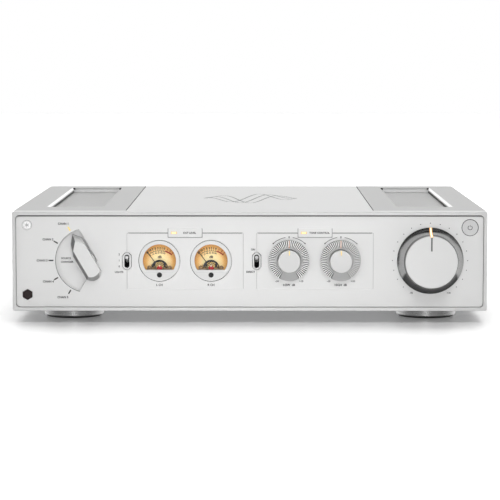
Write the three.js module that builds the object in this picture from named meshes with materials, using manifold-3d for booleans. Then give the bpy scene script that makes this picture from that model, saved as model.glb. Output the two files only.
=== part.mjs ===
// Integrated amplifier with two meters, two tone controls, a source selector and a large volume knob.
// Millimetres. +X is right as seen from the front, +Y is to the back, +Z is up, and the feet stand on Z = 0.
// The origin is under the middle of the whole object, knobs and rear terminals included.

import * as THREE from 'three';
import { mergeVertices } from 'three/addons/utils/BufferGeometryUtils.js';
import { ConvexGeometry } from 'three/addons/geometries/ConvexGeometry.js';
import Module from 'manifold-3d';

const wasm = await Module();
wasm.setup();

// Case
const CASE_WIDTH = 430;
const CASE_HEIGHT = 90;
const CASE_DEPTH = 350;
const FOOT_HEIGHT = 12;
const FIT_GAP = 0.3;
const CUT_OVERRUN = 1;

// Front frame and front panel
const FRAME_DEPTH = 16.4;
const FRAME_RIM = 3.1;
const FRAME_CORNER = 1.5;
const FRAME_LEDGE = 2.2;
const PANEL_RECESS = 2;
const PANEL_THICKNESS = 5;
const PANEL_GAP = 0.45;
const PANEL_CORNER = 3.2;
const SECTION_DEPTH = 0.6;
const SECTION_MARGIN = 10.9;
const SECTION_HEIGHT = 51.8;
const SECTION_CORNER = 1.4;
const METER_SECTION_X = -58.4;
const TONE_SECTION_X = 59.2;
const PAIR_PITCH = 46.8;
const TAB_WIDTH = 30.6;
const TAB_HEIGHT = 7.9;
const TAB_CORNER = 0.8;
const TAB_PROUD = 0.5;

// Casings, covers and chassis
const SIDE_WALL = 4;
const TOP_WALL = 5;
const BOTTOM_WALL = 2.5;
const REAR_WALL = 3;
const SEAM_GAP = 0.35;
const VENT_WIDTH = 49;
const VENT_SIDE_MARGIN = 27.5;
const VENT_INNER_MARGIN = 26;
const VENT_FRONT_MARGIN = 62;
const VENT_BACK_MARGIN = 27.3;
const VENT_CHAMFER = 1.8;
const MESH_THICKNESS = 0.8;
const MESH_LAP = 4;

// Feet
const FOOT_RADIUS = 27.6;
const FOOT_BASE_RADIUS = 26.6;
const FOOT_ROUNDING = 1.2;
const PAD_THICKNESS = 2.6;
const PAD_PROUD = 1.5;
const PAD_MARGIN = 0.8;
const FOOT_SIDE_MARGIN = 50;
const FOOT_END_MARGIN = 65;

// Controls share one row, a little above the middle of the case
const CONTROL_RISE = 0.7;
const SHAFT_RADIUS = 3;
const BUSH_RADIUS = 4.7;
const BUSH_REACH = 3;
const BUSH_CLEARANCE = 0.3;
const KNOB_LIFT = 0.4;
const SHAFT_GRIP = 6;
const SHAFT_TAIL = 8;
const EDGE_CHAMFER = 0.5;

// Volume control
const VOLUME_SIDE_MARGIN = 51.5;
const VOLUME_PROUD = 17;
const VOLUME_FACE_RADIUS = 23.6;
const VOLUME_SKIRT_RADIUS = 30.1;
const VOLUME_SKIRT_EDGE = 1.5;
const VOLUME_COVE_BEND = 0.4;
const VOLUME_RECESS_RADIUS = 8;
const LIGHT_SLOT_WIDTH = 2;
const LIGHT_SLOT_DEPTH = 1.1;
const FACE_GROOVE_WIDTH = 1.4;
const FACE_GROOVE_DEPTH = 0.9;
const FACE_GROOVE_LENGTH = 13.6;
const ENCODER_SIZE = 28;
const ENCODER_DEPTH = 16;

// Source selector. The handle points at the first of five places, 30 degrees apart
const SELECTOR_SIDE_MARGIN = 68.2;
const SELECTOR_START_DEG = 120;
const SELECTOR_TRAVEL_DEG = 120;
const POCKET_RADIUS = 29.3;
const POCKET_HALF_WIDTH = 7.5;
const POCKET_DEPTH = 2.6;
const POCKET_CLEARANCE = 0.35;
const HANDLE_PROUD = 9;
const HANDLE_FACE_WALL = 1;
const HANDLE_HALF_WIDTH = 6.1;
const HANDLE_TAIL = 15.2;
const HANDLE_TAIL_ROUND = 9;
const HANDLE_SHOULDER = 14.2;
const HANDLE_CREST_TIP = 21.2;
const HANDLE_TIP = 27.4;
const HANDLE_KEEL_SHOULDER = 20.6;
const HANDLE_KEEL_HALF_WIDTH = 5.8;
const HANDLE_FLARE_START = 9.5;
const HANDLE_FLARE = 3.4;
const HANDLE_TAIL_FLARE = 4.2;
const SWITCH_SIZE = 30;
const SWITCH_DEPTH = 24;

// Tone controls
const RING_RADIUS = 18.4;
const RING_BORE = 10.9;
const RING_HEIGHT = 3.4;
const FIN_ROOT_RADIUS = 12.4;
const FIN_COUNT = 60;
const FIN_SPAN_DEG = 300;
const FIN_SLOT_SHARE = 0.5;
const TONE_KNOB_RADIUS = 10.1;
const TONE_KNOB_PROUD = 11;
const TONE_KNOB_RECESS_RADIUS = 6.4;
const POT_SIZE = 20;
const POT_DEPTH = 12;

// Toggle switches
const TOGGLE_DROP = 0.7;
const TOGGLE_WIDTH = 7.5;
const TOGGLE_HEIGHT = 14.9;
const TOGGLE_CHAMFER = 2.3;
const TOGGLE_PROUD = 0.5;
const TOGGLE_SLOT_WIDTH = 4.5;
const TOGGLE_SLOT_HEIGHT = 12.2;
const TOGGLE_BODY_WIDTH = 12;
const TOGGLE_BODY_HEIGHT = 19;
const TOGGLE_BODY_DEPTH = 14;
const TOGGLE_PIVOT_DEPTH = 3.5;
const TOGGLE_FLOOR = 3;
const LEVER_TILT_DEG = 18;
const LEVER_TIP_RADIUS = 1.75;
const LEVER_NECK_RADIUS = 1.25;
const LEVER_REACH = 5;

// Power button, remote window
const POWER_SIDE_MARGIN = 15.6;
const POWER_TOP_MARGIN = 14.4;
const POWER_RADIUS = 7.4;
const POWER_LENGTH = 8.5;
const POWER_TRAVEL = 1.5;
const POWER_HOUSING_WALL = 1.2;
const POWER_HOUSING_FLOOR = 3;
const WINDOW_SIDE_MARGIN = 13.4;
const WINDOW_BOTTOM_MARGIN = 14.5;
const WINDOW_RADIUS = 4.85;
const WINDOW_THICKNESS = 4;

// Meters
const METER_DROP = 0.4;
const BEZEL_RADIUS = 18.5;
const BEZEL_THICKNESS = 2.5;
const BEZEL_GAP = 0.4;
const METER_LEDGE = 1.2;
const METER_WINDOW_RADIUS = 15;
const METER_WINDOW_CHORD = 8.2;
const GLASS_THICKNESS = 0.8;
const GLASS_MARGIN = 0.6;
const METER_BODY_LENGTH = 26;
const METER_BODY_WALL = 1.1;
const DIAL_DEPTH = 6.2;
const DIAL_THICKNESS = 0.6;
const PIVOT_DROP = 7.1;
const MOVEMENT_RADIUS = 4.2;
const MOVEMENT_RISE = 0.5;
const PIVOT_PIN_RADIUS = 0.6;
const NEEDLE_LENGTH = 18.6;
const NEEDLE_WIDTH = 0.6;
const NEEDLE_THICKNESS = 0.4;
const NEEDLE_HUB_RADIUS = 1.8;
const NEEDLE_DEPTH = 4.7;
const NEEDLE_REST_DEG = 38;

// Inside
const STANDOFF_HEIGHT = 8;
const STANDOFF_RADIUS = 3;
const BOARD_WIDTH = 190;
const BOARD_DEPTH = 96;
const BOARD_THICKNESS = 1.6;
const BOARD_REAR_MARGIN = 42;
const BOARD_INSET = 8;
const TRANSFORMER_RADIUS = 52;
const TRANSFORMER_BORE = 17;
const TRANSFORMER_HEIGHT = 46;
const TRANSFORMER_ROUNDING = 7;
const TRANSFORMER_FRONT_MARGIN = 108;
const HEATSINK_WIDTH = 60;
const HEATSINK_LENGTH = 236;
const HEATSINK_HEIGHT = 62;
const HEATSINK_BASE = 7;
const HEATSINK_FINS = 9;
const HEATSINK_FIN_SHARE = 0.36;

// Rear connections
const POST_REACH = 26;
const POST_FLANGE_RADIUS = 8.5;
const POST_FLANGE_HEIGHT = 4;
const POST_THREAD_RADIUS = 3;
const CAP_RADIUS = 6.6;
const CAP_LENGTH = 15.5;
const CAP_WALL = 2.6;
const CAP_FLUTES = 12;
const CAP_FLUTE_SHARE = 0.9;
const TERMINAL_BLOCK_X = -38;
const TERMINAL_PITCH = 20;
const TERMINAL_CHANNEL_PITCH = 52;
const TERMINAL_BLOCK_MARGIN = 12;
const TERMINAL_BLOCK_HEIGHT = 30;
const TERMINAL_BLOCK_PLATE = 2.5;
const INLET_SIDE_MARGIN = 47;
const INLET_MARGIN = 6;
const INLET_FLANGE = 2;
const INLET_BODY_WIDTH = 28;
const INLET_BODY_HEIGHT = 21;
const INLET_BODY_DEPTH = 22;
const INLET_CAVITY_WIDTH = 24;
const INLET_CAVITY_HEIGHT = 16.5;
const INLET_CAVITY_DEPTH = 16;
const INLET_CAVITY_CHAMFER = 4;
const INLET_PIN_WIDTH = 2;
const INLET_PIN_HEIGHT = 4;
const INLET_PIN_LENGTH = 11;
const INLET_PIN_PITCH = 7;
const INLET_PIN_DROP = 2;
const ROCKER_WIDTH = 11;
const ROCKER_HEIGHT = 15;
const ROCKER_DEPTH = 6;
const ROCKER_TILT_DEG = 9;
const ROCKER_PROUD = 1.2;
const ROCKER_SPACING = 4;
const SOCKET_SPACING = 82;
const SOCKET_PLATE_THICKNESS = 1.5;
const SOCKET_PITCH = 18;
const SOCKET_COLUMNS = 5;
const SOCKET_MARGIN = 11;
const SOCKET_BARREL_RADIUS = 4.15;
const SOCKET_BORE_RADIUS = 1.7;
const SOCKET_BARREL_LENGTH = 9;
const SOCKET_BORE_DEPTH = 8;
const EARTH_RADIUS = 4;
const EARTH_LENGTH = 8;
const BALANCED_SIDE_MARGIN = 41;
const BALANCED_PITCH = 28;
const BALANCED_RADIUS = 8;
const BALANCED_WALL = 3;
const BALANCED_FLANGE = 2;
const BALANCED_DEPTH = 18;
const BALANCED_FLOOR = 4;
const BALANCED_FLANGE_WIDTH = 26;
const BALANCED_FLANGE_MARGIN = 1;

// Counts of facets
const FINE_FACETS = 40;
const ROUND_FACETS = 28;
const SMALL_FACETS = 20;
const TINY_FACETS = 10;
const CORNER_FACETS = 3;
const CURVE_STEPS = 6;
const WELD_DISTANCE = 0.0001;

// Planes of the front, measured back from the face of the front frame
const PANEL_FRONT = PANEL_RECESS;
const PANEL_BACK = PANEL_FRONT + PANEL_THICKNESS;
const SECTION_FLOOR = PANEL_FRONT + SECTION_DEPTH;
const BEHIND_PANEL = PANEL_BACK + FIT_GAP;
const CASING_FRONT = FRAME_DEPTH + FIT_GAP;
const PANEL_WIDTH = CASE_WIDTH - 2 * (FRAME_RIM + PANEL_GAP);
const PANEL_HEIGHT = CASE_HEIGHT - 2 * (FRAME_RIM + PANEL_GAP);
const CENTRE_PLATE_WIDTH = CASE_WIDTH - 2 * (VENT_SIDE_MARGIN + VENT_WIDTH + VENT_INNER_MARGIN);
const SECTION_WIDTH = PAIR_PITCH + 2 * (BEZEL_RADIUS + SECTION_MARGIN);

// Places across the front, from its middle. The toggles sit on the left edges of the two sections
const VOLUME_X = CASE_WIDTH / 2 - VOLUME_SIDE_MARGIN;
const SELECTOR_X = SELECTOR_SIDE_MARGIN - CASE_WIDTH / 2;
const POWER_X = CASE_WIDTH / 2 - POWER_SIDE_MARGIN;
const POWER_RISE = CASE_HEIGHT / 2 - POWER_TOP_MARGIN;
const WINDOW_X = WINDOW_SIDE_MARGIN - CASE_WIDTH / 2;
const WINDOW_DROP = CASE_HEIGHT / 2 - WINDOW_BOTTOM_MARGIN;
const METER_LEFT_X = METER_SECTION_X - PAIR_PITCH / 2;
const METER_RIGHT_X = METER_SECTION_X + PAIR_PITCH / 2;
const BASS_X = TONE_SECTION_X - PAIR_PITCH / 2;
const TREBLE_X = TONE_SECTION_X + PAIR_PITCH / 2;
const DIMMER_X = METER_SECTION_X - SECTION_WIDTH / 2;
const TONE_SWITCH_X = TONE_SECTION_X - SECTION_WIDTH / 2;

// Places across the rear
const INLET_X = INLET_SIDE_MARGIN - CASE_WIDTH / 2;
const BALANCED_X = CASE_WIDTH / 2 - BALANCED_SIDE_MARGIN;
const SOCKET_PLATE_X = BALANCED_X - SOCKET_SPACING;

// Heights above the table
const CASE_CENTRE_Z = FOOT_HEIGHT + CASE_HEIGHT / 2;
const CASE_TOP = FOOT_HEIGHT + CASE_HEIGHT;
const CONTROL_Z = CASE_CENTRE_Z + CONTROL_RISE;
const METER_Z = CONTROL_Z - METER_DROP;
const TOGGLE_Z = CONTROL_Z - TOGGLE_DROP;
const CHASSIS_FLOOR = FOOT_HEIGHT + BOTTOM_WALL;

// The front face lies here, so that the whole object is centred on Y = 0
const VOLUME_REACH = VOLUME_PROUD - PANEL_RECESS;
const FRONT_Y = (VOLUME_REACH - CASE_DEPTH - POST_REACH) / 2;

const degrees = THREE.MathUtils.degToRad;

const material = (color, roughness, metalness) =>
  new THREE.MeshStandardMaterial({ color, roughness, metalness });

const anodised = () => material(0xdcdddd, 0.42, 0.75);
const panelFinish = () => material(0xe0e0df, 0.5, 0.65);
const chrome = () => material(0xd9dadc, 0.08, 1);
const darkPlastic = () => material(0x1b1b1c, 0.5, 0);
const steel = () => material(0xa9acaf, 0.4, 0.9);
const rubber = () => material(0x222222, 0.9, 0);
const brass = () => material(0xc79a45, 0.3, 1);

// Closed geometry to solid, welded and with its faces turned outwards
function solidOf(geometry) {
  const bare = geometry.clone();
  bare.deleteAttribute('normal');
  bare.deleteAttribute('uv');
  const welded = mergeVertices(bare, WELD_DISTANCE);
  const places = welded.attributes.position.array;
  const corner = (index) => new THREE.Vector3().fromArray(places, index * 3);
  const triangles = [];
  let volume = 0;
  for (let i = 0; i < welded.index.count; i += 3) {
    const [a, b, c] = [0, 1, 2].map((step) => welded.index.getX(i + step));
    if (a !== b && b !== c && c !== a) {
      triangles.push([a, b, c]);
      volume += corner(a).dot(corner(b).cross(corner(c)));
    }
  }
  const turned = volume < 0 ? triangles.map(([a, b, c]) => [a, c, b]) : triangles;
  return new wasm.Manifold(new wasm.Mesh({
    numProp: 3,
    vertProperties: new Float32Array(places),
    triVerts: new Uint32Array(turned.flat()),
  }));
}

// Solid back to a geometry that a mesh can show
function geometryOf(solid) {
  const { vertProperties, triVerts } = solid.getMesh();
  const indexed = new THREE.BufferGeometry();
  indexed.setAttribute('position', new THREE.BufferAttribute(new Float32Array(vertProperties), 3));
  indexed.setIndex(new THREE.BufferAttribute(new Uint32Array(triVerts), 1));
  const faceted = indexed.toNonIndexed();
  faceted.computeVertexNormals();
  return faceted;
}

const join = (first, ...others) => others.reduce((whole, other) => whole.add(other), first);
const cut = (first, ...others) => others.reduce((whole, other) => whole.subtract(other), first);

// Outline drawn in X and Z, made solid between two depths
function plate(shape, front, back, facets = CORNER_FACETS) {
  const geometry = new THREE.ExtrudeGeometry(shape, {
    depth: back - front, bevelEnabled: false, curveSegments: facets,
  });
  geometry.rotateX(Math.PI / 2);
  geometry.translate(0, back, 0);
  return solidOf(geometry);
}

// Outline drawn in Y and Z, made solid across X about zero
function crosswise(points, width) {
  const geometry = new THREE.ExtrudeGeometry(polygon(points), { depth: width, bevelEnabled: false });
  geometry.translate(0, 0, -width / 2);
  geometry.rotateY(Math.PI / 2);
  geometry.rotateX(Math.PI / 2);
  return solidOf(geometry);
}

function block(x, y, z) {
  const geometry = new THREE.BoxGeometry(x[1] - x[0], y[1] - y[0], z[1] - z[0]);
  geometry.translate((x[0] + x[1]) / 2, (y[0] + y[1]) / 2, (z[0] + z[1]) / 2);
  return solidOf(geometry);
}

// Turned about the Y axis, from radius and depth pairs
const turned = (points, facets = ROUND_FACETS) =>
  solidOf(new THREE.LatheGeometry(points.map(([r, y]) => new THREE.Vector2(r, y)), facets));

// Turned about the Z axis, from radius and height pairs
function turnedUpright(points, facets = ROUND_FACETS) {
  const geometry = new THREE.LatheGeometry(points.map(([r, z]) => new THREE.Vector2(r, z)), facets);
  geometry.rotateX(Math.PI / 2);
  return solidOf(geometry);
}

function rod(radius, front, back, facets = SMALL_FACETS) {
  return turned([[0, front], [radius, front], [radius, back], [0, back]], facets);
}

function polygon(points) {
  return new THREE.Shape(points.map(([x, y]) => new THREE.Vector2(x, y)));
}

function roundedRectangle(width, height, radius, x = 0, z = 0) {
  const shape = new THREE.Shape();
  const [left, right, low, high] = [x - width / 2, x + width / 2, z - height / 2, z + height / 2];
  shape.absarc(right - radius, low + radius, radius, -Math.PI / 2, 0);
  shape.absarc(right - radius, high - radius, radius, 0, Math.PI / 2);
  shape.absarc(left + radius, high - radius, radius, Math.PI / 2, Math.PI);
  shape.absarc(left + radius, low + radius, radius, Math.PI, Math.PI * 1.5);
  return shape;
}

function piece(name, solid, finish, parent, x = 0, y = 0, z = 0) {
  const mesh = new THREE.Mesh(geometryOf(solid), finish);
  mesh.name = name;
  mesh.position.set(x, y, z);
  parent.add(mesh);
  return mesh;
}

const amplifier = new THREE.Group();

// Front parts are measured back from the front face, and rear parts out from the back face
const front = new THREE.Group();
front.position.y = FRONT_Y;
const rear = new THREE.Group();
rear.position.y = FRONT_Y + CASE_DEPTH;
amplifier.add(front, rear);

// Ring round the front, with a ledge that the panel seats against
function frontFrame() {
  const outer = plate(roundedRectangle(CASE_WIDTH, CASE_HEIGHT, FRAME_CORNER), 0, FRAME_DEPTH);
  const mouth = plate(
    roundedRectangle(CASE_WIDTH - 2 * FRAME_RIM, CASE_HEIGHT - 2 * FRAME_RIM, PANEL_CORNER + PANEL_GAP),
    -CUT_OVERRUN, BEHIND_PANEL);
  const inside = FRAME_RIM + FRAME_LEDGE;
  const through = plate(
    roundedRectangle(CASE_WIDTH - 2 * inside, CASE_HEIGHT - 2 * inside, PANEL_CORNER),
    -CUT_OVERRUN, FRAME_DEPTH + CUT_OVERRUN);
  piece('front_frame', cut(outer, mouth, through), anodised(), front, 0, 0, CASE_CENTRE_Z);
}

// Round hole through the panel for a control's bush
const bushHole = (x) =>
  rod(BUSH_RADIUS + BUSH_CLEARANCE, -CUT_OVERRUN, PANEL_BACK + CUT_OVERRUN)
    .translate([x, 0, CONTROL_RISE]);

// Sector that the handle's keel sweeps, between parallels of the handle at its two end stops
function pocketShape(radius, halfWidth) {
  const lean = Math.asin(halfWidth / radius);
  const start = degrees(SELECTOR_START_DEG);
  const end = start + degrees(SELECTOR_TRAVEL_DEG);
  const shape = new THREE.Shape();
  shape.absarc(0, 0, radius, start - lean, end + lean);
  shape.lineTo(halfWidth / Math.sin(degrees(SELECTOR_TRAVEL_DEG / 2)), 0);
  return shape;
}

// Elongated eight-sided outline of a toggle switch
function toggleOutline(growth, x = 0, z = 0) {
  const [half, tall] = [TOGGLE_WIDTH / 2 + growth, TOGGLE_HEIGHT / 2 + growth];
  const inner = half - TOGGLE_CHAMFER;
  const shoulder = tall - TOGGLE_CHAMFER;
  return polygon([
    [x - inner, z - tall], [x + inner, z - tall], [x + half, z - shoulder], [x + half, z + shoulder],
    [x + inner, z + tall], [x - inner, z + tall], [x - half, z + shoulder], [x - half, z - shoulder],
  ]);
}

function hexagon(radius, x = 0, z = 0) {
  const corners = [0, 1, 2, 3, 4, 5].map((side) => Math.PI / 6 + side * Math.PI / 3);
  return polygon(corners.map((angle) => [x + radius * Math.cos(angle), z + radius * Math.sin(angle)]));
}

// Recessed field that holds a pair of controls or meters
function sectionCut(x) {
  const shape = roundedRectangle(SECTION_WIDTH, SECTION_HEIGHT, SECTION_CORNER, x, 0);
  return plate(shape, -CUT_OVERRUN, SECTION_FLOOR);
}

// Raised label tab across the field's upper edge
function sectionTab(x) {
  const shape = roundedRectangle(TAB_WIDTH, TAB_HEIGHT, TAB_CORNER, x, SECTION_HEIGHT / 2);
  return plate(shape, PANEL_FRONT - TAB_PROUD, PANEL_BACK - CUT_OVERRUN);
}

function meterHole(x) {
  const bezelSeat = SECTION_FLOOR + BEZEL_THICKNESS + FIT_GAP;
  const step = rod(BEZEL_RADIUS + BEZEL_GAP, -CUT_OVERRUN, bezelSeat, FINE_FACETS);
  const bore = rod(BEZEL_RADIUS - METER_LEDGE, -CUT_OVERRUN, PANEL_BACK + CUT_OVERRUN, FINE_FACETS);
  return join(step, bore).translate([x, 0, CONTROL_RISE - METER_DROP]);
}

function frontPanel() {
  const through = [-CUT_OVERRUN, PANEL_BACK + CUT_OVERRUN];
  const blank = plate(roundedRectangle(PANEL_WIDTH, PANEL_HEIGHT, PANEL_CORNER), PANEL_FRONT, PANEL_BACK);
  const sections = cut(blank, sectionCut(METER_SECTION_X), sectionCut(TONE_SECTION_X));
  const tabbed = join(sections, sectionTab(METER_SECTION_X), sectionTab(TONE_SECTION_X));
  const pocket = plate(pocketShape(POCKET_RADIUS, POCKET_HALF_WIDTH), -CUT_OVERRUN,
    PANEL_FRONT + POCKET_DEPTH, ROUND_FACETS).translate([SELECTOR_X, 0, CONTROL_RISE]);
  const toggles = [DIMMER_X, TONE_SWITCH_X].map((x) =>
    plate(toggleOutline(FIT_GAP, x, CONTROL_RISE - TOGGLE_DROP), ...through));
  const powerHole = rod(POWER_RADIUS + FIT_GAP, ...through).translate([POWER_X, 0, POWER_RISE]);
  const windowHole = plate(hexagon(WINDOW_RADIUS + FIT_GAP, WINDOW_X, -WINDOW_DROP),
    -CUT_OVERRUN, PANEL_FRONT + WINDOW_THICKNESS + FIT_GAP);
  const bushes = [VOLUME_X, SELECTOR_X, BASS_X, TREBLE_X].map(bushHole);
  const meters = [METER_LEFT_X, METER_RIGHT_X].map(meterHole);
  const panel = cut(tabbed, pocket, ...toggles, powerHole, windowHole, ...bushes, ...meters);
  piece('front_panel', panel, panelFinish(), front, 0, 0, CASE_CENTRE_Z);
}

// Side wall and half of the top in one angle, with the vent let into the top
function sideCasing(name, side) {
  const outer = CASE_WIDTH / 2;
  const inner = CENTRE_PLATE_WIDTH / 2 + SEAM_GAP;
  const span = [CASING_FRONT, CASE_DEPTH];
  const wall = block([outer - SIDE_WALL, outer], span, [FOOT_HEIGHT, CASE_TOP]);
  const cover = block([inner, outer], span, [CASE_TOP - TOP_WALL, CASE_TOP]);
  const angle = cut(join(wall, cover), ventCut());
  const casing = side > 0 ? angle : angle.mirror([1, 0, 0]);
  piece(name, casing, anodised(), front);
}

const ventSpanX = [
  CASE_WIDTH / 2 - VENT_SIDE_MARGIN - VENT_WIDTH,
  CASE_WIDTH / 2 - VENT_SIDE_MARGIN,
];
const ventSpanY = [VENT_FRONT_MARGIN, CASE_DEPTH - VENT_BACK_MARGIN];

// Straight-sided hole with a sloping edge at the top
function ventCut() {
  const hole = block(ventSpanX, ventSpanY, [CASE_TOP - TOP_WALL - CUT_OVERRUN, CASE_TOP + CUT_OVERRUN]);
  const low = CASE_TOP - VENT_CHAMFER;
  const high = CASE_TOP + CUT_OVERRUN;
  const spread = VENT_CHAMFER + CUT_OVERRUN;
  const corners = [];
  for (const [z, grow] of [[low, 0], [high, spread]]) {
    for (const x of [ventSpanX[0] - grow, ventSpanX[1] + grow]) {
      for (const y of [ventSpanY[0] - grow, ventSpanY[1] + grow]) {
        corners.push(new THREE.Vector3(x, y, z));
      }
    }
  }
  return join(hole, solidOf(new ConvexGeometry(corners)));
}

function ventMesh(name, side) {
  const top = CASE_TOP - TOP_WALL - FIT_GAP;
  const x = [ventSpanX[0] - MESH_LAP, ventSpanX[1] + MESH_LAP];
  const y = [ventSpanY[0] - MESH_LAP, ventSpanY[1] + MESH_LAP];
  const sheet = block(x, y, [top - MESH_THICKNESS, top]);
  piece(name, side > 0 ? sheet : sheet.mirror([1, 0, 0]), steel(), front);
}

function topPlate() {
  const half = CENTRE_PLATE_WIDTH / 2;
  const cover = block([-half, half], [CASING_FRONT, CASE_DEPTH], [CASE_TOP - TOP_WALL, CASE_TOP]);
  piece('top_plate', cover, anodised(), front);
}

const insideHalfWidth = CASE_WIDTH / 2 - SIDE_WALL - FIT_GAP;

// Places of the four posts that carry the main board
const boardCentreY = CASE_DEPTH - BOARD_REAR_MARGIN - BOARD_DEPTH / 2;
const standoffs = [-1, 1].flatMap((sideways) => [-1, 1].map((lengthways) => [
  sideways * (BOARD_WIDTH / 2 - BOARD_INSET),
  boardCentreY + lengthways * (BOARD_DEPTH / 2 - BOARD_INSET),
]));

function bottomPlate() {
  const sheet = block([-insideHalfWidth, insideHalfWidth], [CASING_FRONT, CASE_DEPTH],
    [FOOT_HEIGHT, CHASSIS_FLOOR]);
  const posts = standoffs.map(([x, y]) => turnedUpright([
    [0, CHASSIS_FLOOR - BOTTOM_WALL / 2],
    [STANDOFF_RADIUS, CHASSIS_FLOOR - BOTTOM_WALL / 2],
    [STANDOFF_RADIUS, CHASSIS_FLOOR + STANDOFF_HEIGHT],
    [0, CHASSIS_FLOOR + STANDOFF_HEIGHT],
  ], TINY_FACETS).translate([x, y, 0]));
  piece('bottom_plate', join(sheet, ...posts), steel(), front);
}

function feet() {
  for (const [end, y] of [['front', FOOT_END_MARGIN], ['rear', CASE_DEPTH - FOOT_END_MARGIN]]) {
    for (const [hand, side] of [['left', -1], ['right', 1]]) {
      const x = side * (CASE_WIDTH / 2 - FOOT_SIDE_MARGIN);
      piece(`${end}_${hand}_foot`, footSolid(), chrome(), front, x, y, 0);
      piece(`${end}_${hand}_foot_pad`, padSolid(), rubber(), front, x, y, 0);
    }
  }
}

// Turned foot with a rounded lower edge and a shallow seat for its pad
function footSolid() {
  const profile = [[0, FOOT_HEIGHT - FIT_GAP], [FOOT_RADIUS, FOOT_HEIGHT - FIT_GAP]];
  for (let step = 0; step <= CORNER_FACETS; step += 1) {
    const angle = (step / CORNER_FACETS) * (Math.PI / 2);
    profile.push([
      FOOT_BASE_RADIUS + (FOOT_RADIUS - FOOT_BASE_RADIUS) * Math.cos(angle),
      PAD_PROUD + FOOT_ROUNDING * (1 - Math.sin(angle)),
    ]);
  }
  const seat = FOOT_BASE_RADIUS - PAD_MARGIN + FIT_GAP;
  profile.push([seat, PAD_PROUD], [seat, PAD_THICKNESS + FIT_GAP], [0, PAD_THICKNESS + FIT_GAP]);
  return turnedUpright(profile);
}

function padSolid() {
  const radius = FOOT_BASE_RADIUS - PAD_MARGIN;
  return turnedUpright([[0, 0], [radius, 0], [radius, PAD_THICKNESS], [0, PAD_THICKNESS]]);
}

// Body of a pot, encoder or rotary switch, with its bush through the panel
function controlBody(size, depth, reach) {
  const half = size / 2;
  const body = block([-half, half], [BEHIND_PANEL, BEHIND_PANEL + depth], [-half, half]);
  const bush = rod(BUSH_RADIUS, reach, BEHIND_PANEL + FIT_GAP);
  const bore = rod(SHAFT_RADIUS + FIT_GAP, reach - CUT_OVERRUN,
    BEHIND_PANEL + SHAFT_TAIL + FIT_GAP);
  return cut(join(body, bush), bore);
}

const bushFront = PANEL_FRONT - BUSH_REACH;
const shaftBack = BEHIND_PANEL + SHAFT_TAIL;

// Cove of the volume knob's skirt, or a line under it. It leaves the foot at 45 degrees and bends up
// to the side of the face
function skirtCurve(inset) {
  const base = PANEL_FRONT - KNOB_LIFT - VOLUME_SKIRT_EDGE;
  const crown = PANEL_FRONT - VOLUME_PROUD + EDGE_CHAMFER;
  const run = VOLUME_SKIRT_RADIUS - VOLUME_FACE_RADIUS - VOLUME_COVE_BEND;
  const foot = new THREE.Vector2(VOLUME_SKIRT_RADIUS, base);
  const bend = new THREE.Vector2(VOLUME_SKIRT_RADIUS - run, base - run);
  const cove = new THREE.QuadraticBezierCurve(foot, bend, new THREE.Vector2(VOLUME_FACE_RADIUS, crown));
  return cove.getPoints(CURVE_STEPS).map((point, step) => {
    const along = cove.getTangent(step / CURVE_STEPS);
    return [point.x + inset * along.y, point.y - inset * along.x];
  });
}

function volumeKnob() {
  const faceY = PANEL_FRONT - VOLUME_PROUD;
  const baseY = PANEL_FRONT - KNOB_LIFT;
  const body = turned([
    [0, baseY], [VOLUME_SKIRT_RADIUS, baseY], ...skirtCurve(0),
    [VOLUME_FACE_RADIUS - EDGE_CHAMFER, faceY], [0, faceY],
  ], FINE_FACETS);
  const recessTop = bushFront - FIT_GAP;
  const recess = rod(VOLUME_RECESS_RADIUS, recessTop, baseY + CUT_OVERRUN);
  const bore = rod(SHAFT_RADIUS + FIT_GAP, recessTop - SHAFT_GRIP - FIT_GAP, baseY);
  const groove = block([-FACE_GROOVE_WIDTH / 2, FACE_GROOVE_WIDTH / 2],
    [faceY - CUT_OVERRUN, faceY + FACE_GROOVE_DEPTH],
    [VOLUME_FACE_RADIUS - FACE_GROOVE_LENGTH, VOLUME_FACE_RADIUS + CUT_OVERRUN]);
  const lapped = (points) => [
    [points[0][0] + CUT_OVERRUN, points[0][1]], ...points,
    [points.at(-1)[0], points.at(-1)[1] - CUT_OVERRUN],
  ];
  const slot = skirtStrip(lapped(skirtCurve(-CUT_OVERRUN)), lapped(skirtCurve(LIGHT_SLOT_DEPTH)),
    LIGHT_SLOT_WIDTH);
  piece('volume_knob', cut(body, recess, bore, groove, slot), anodised(), front, VOLUME_X, 0, CONTROL_Z);
}

// Strip that follows the skirt at twelve o'clock, between an outer and an inner line of it
function skirtStrip(outer, inner, width) {
  return crosswise([...outer, ...inner.reverse()].map(([radius, y]) => [y, radius]), width);
}

function volumeLightBar() {
  const strip = skirtStrip(skirtCurve(0), skirtCurve(LIGHT_SLOT_DEPTH - FIT_GAP),
    LIGHT_SLOT_WIDTH - 2 * FIT_GAP);
  piece('volume_light_bar', strip, material(0xffe9a8, 0.4, 0), front, VOLUME_X, 0, CONTROL_Z);
}

function volumeDrive() {
  const frontEnd = bushFront - FIT_GAP - SHAFT_GRIP;
  const shaft = rod(SHAFT_RADIUS, frontEnd, shaftBack);
  piece('volume_shaft', shaft, steel(), front, VOLUME_X, 0, CONTROL_Z);
  const body = controlBody(ENCODER_SIZE, ENCODER_DEPTH, bushFront);
  piece('volume_encoder', body, steel(), front, VOLUME_X, 0, CONTROL_Z);
}

// Pointed handle. Along runs from the tip to the tail and across runs to its right, seen from the front
const handleTurn = degrees(SELECTOR_START_DEG) - Math.PI;
const handlePoint = ([along, across], y) => new THREE.Vector3(along, y, across);

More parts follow.
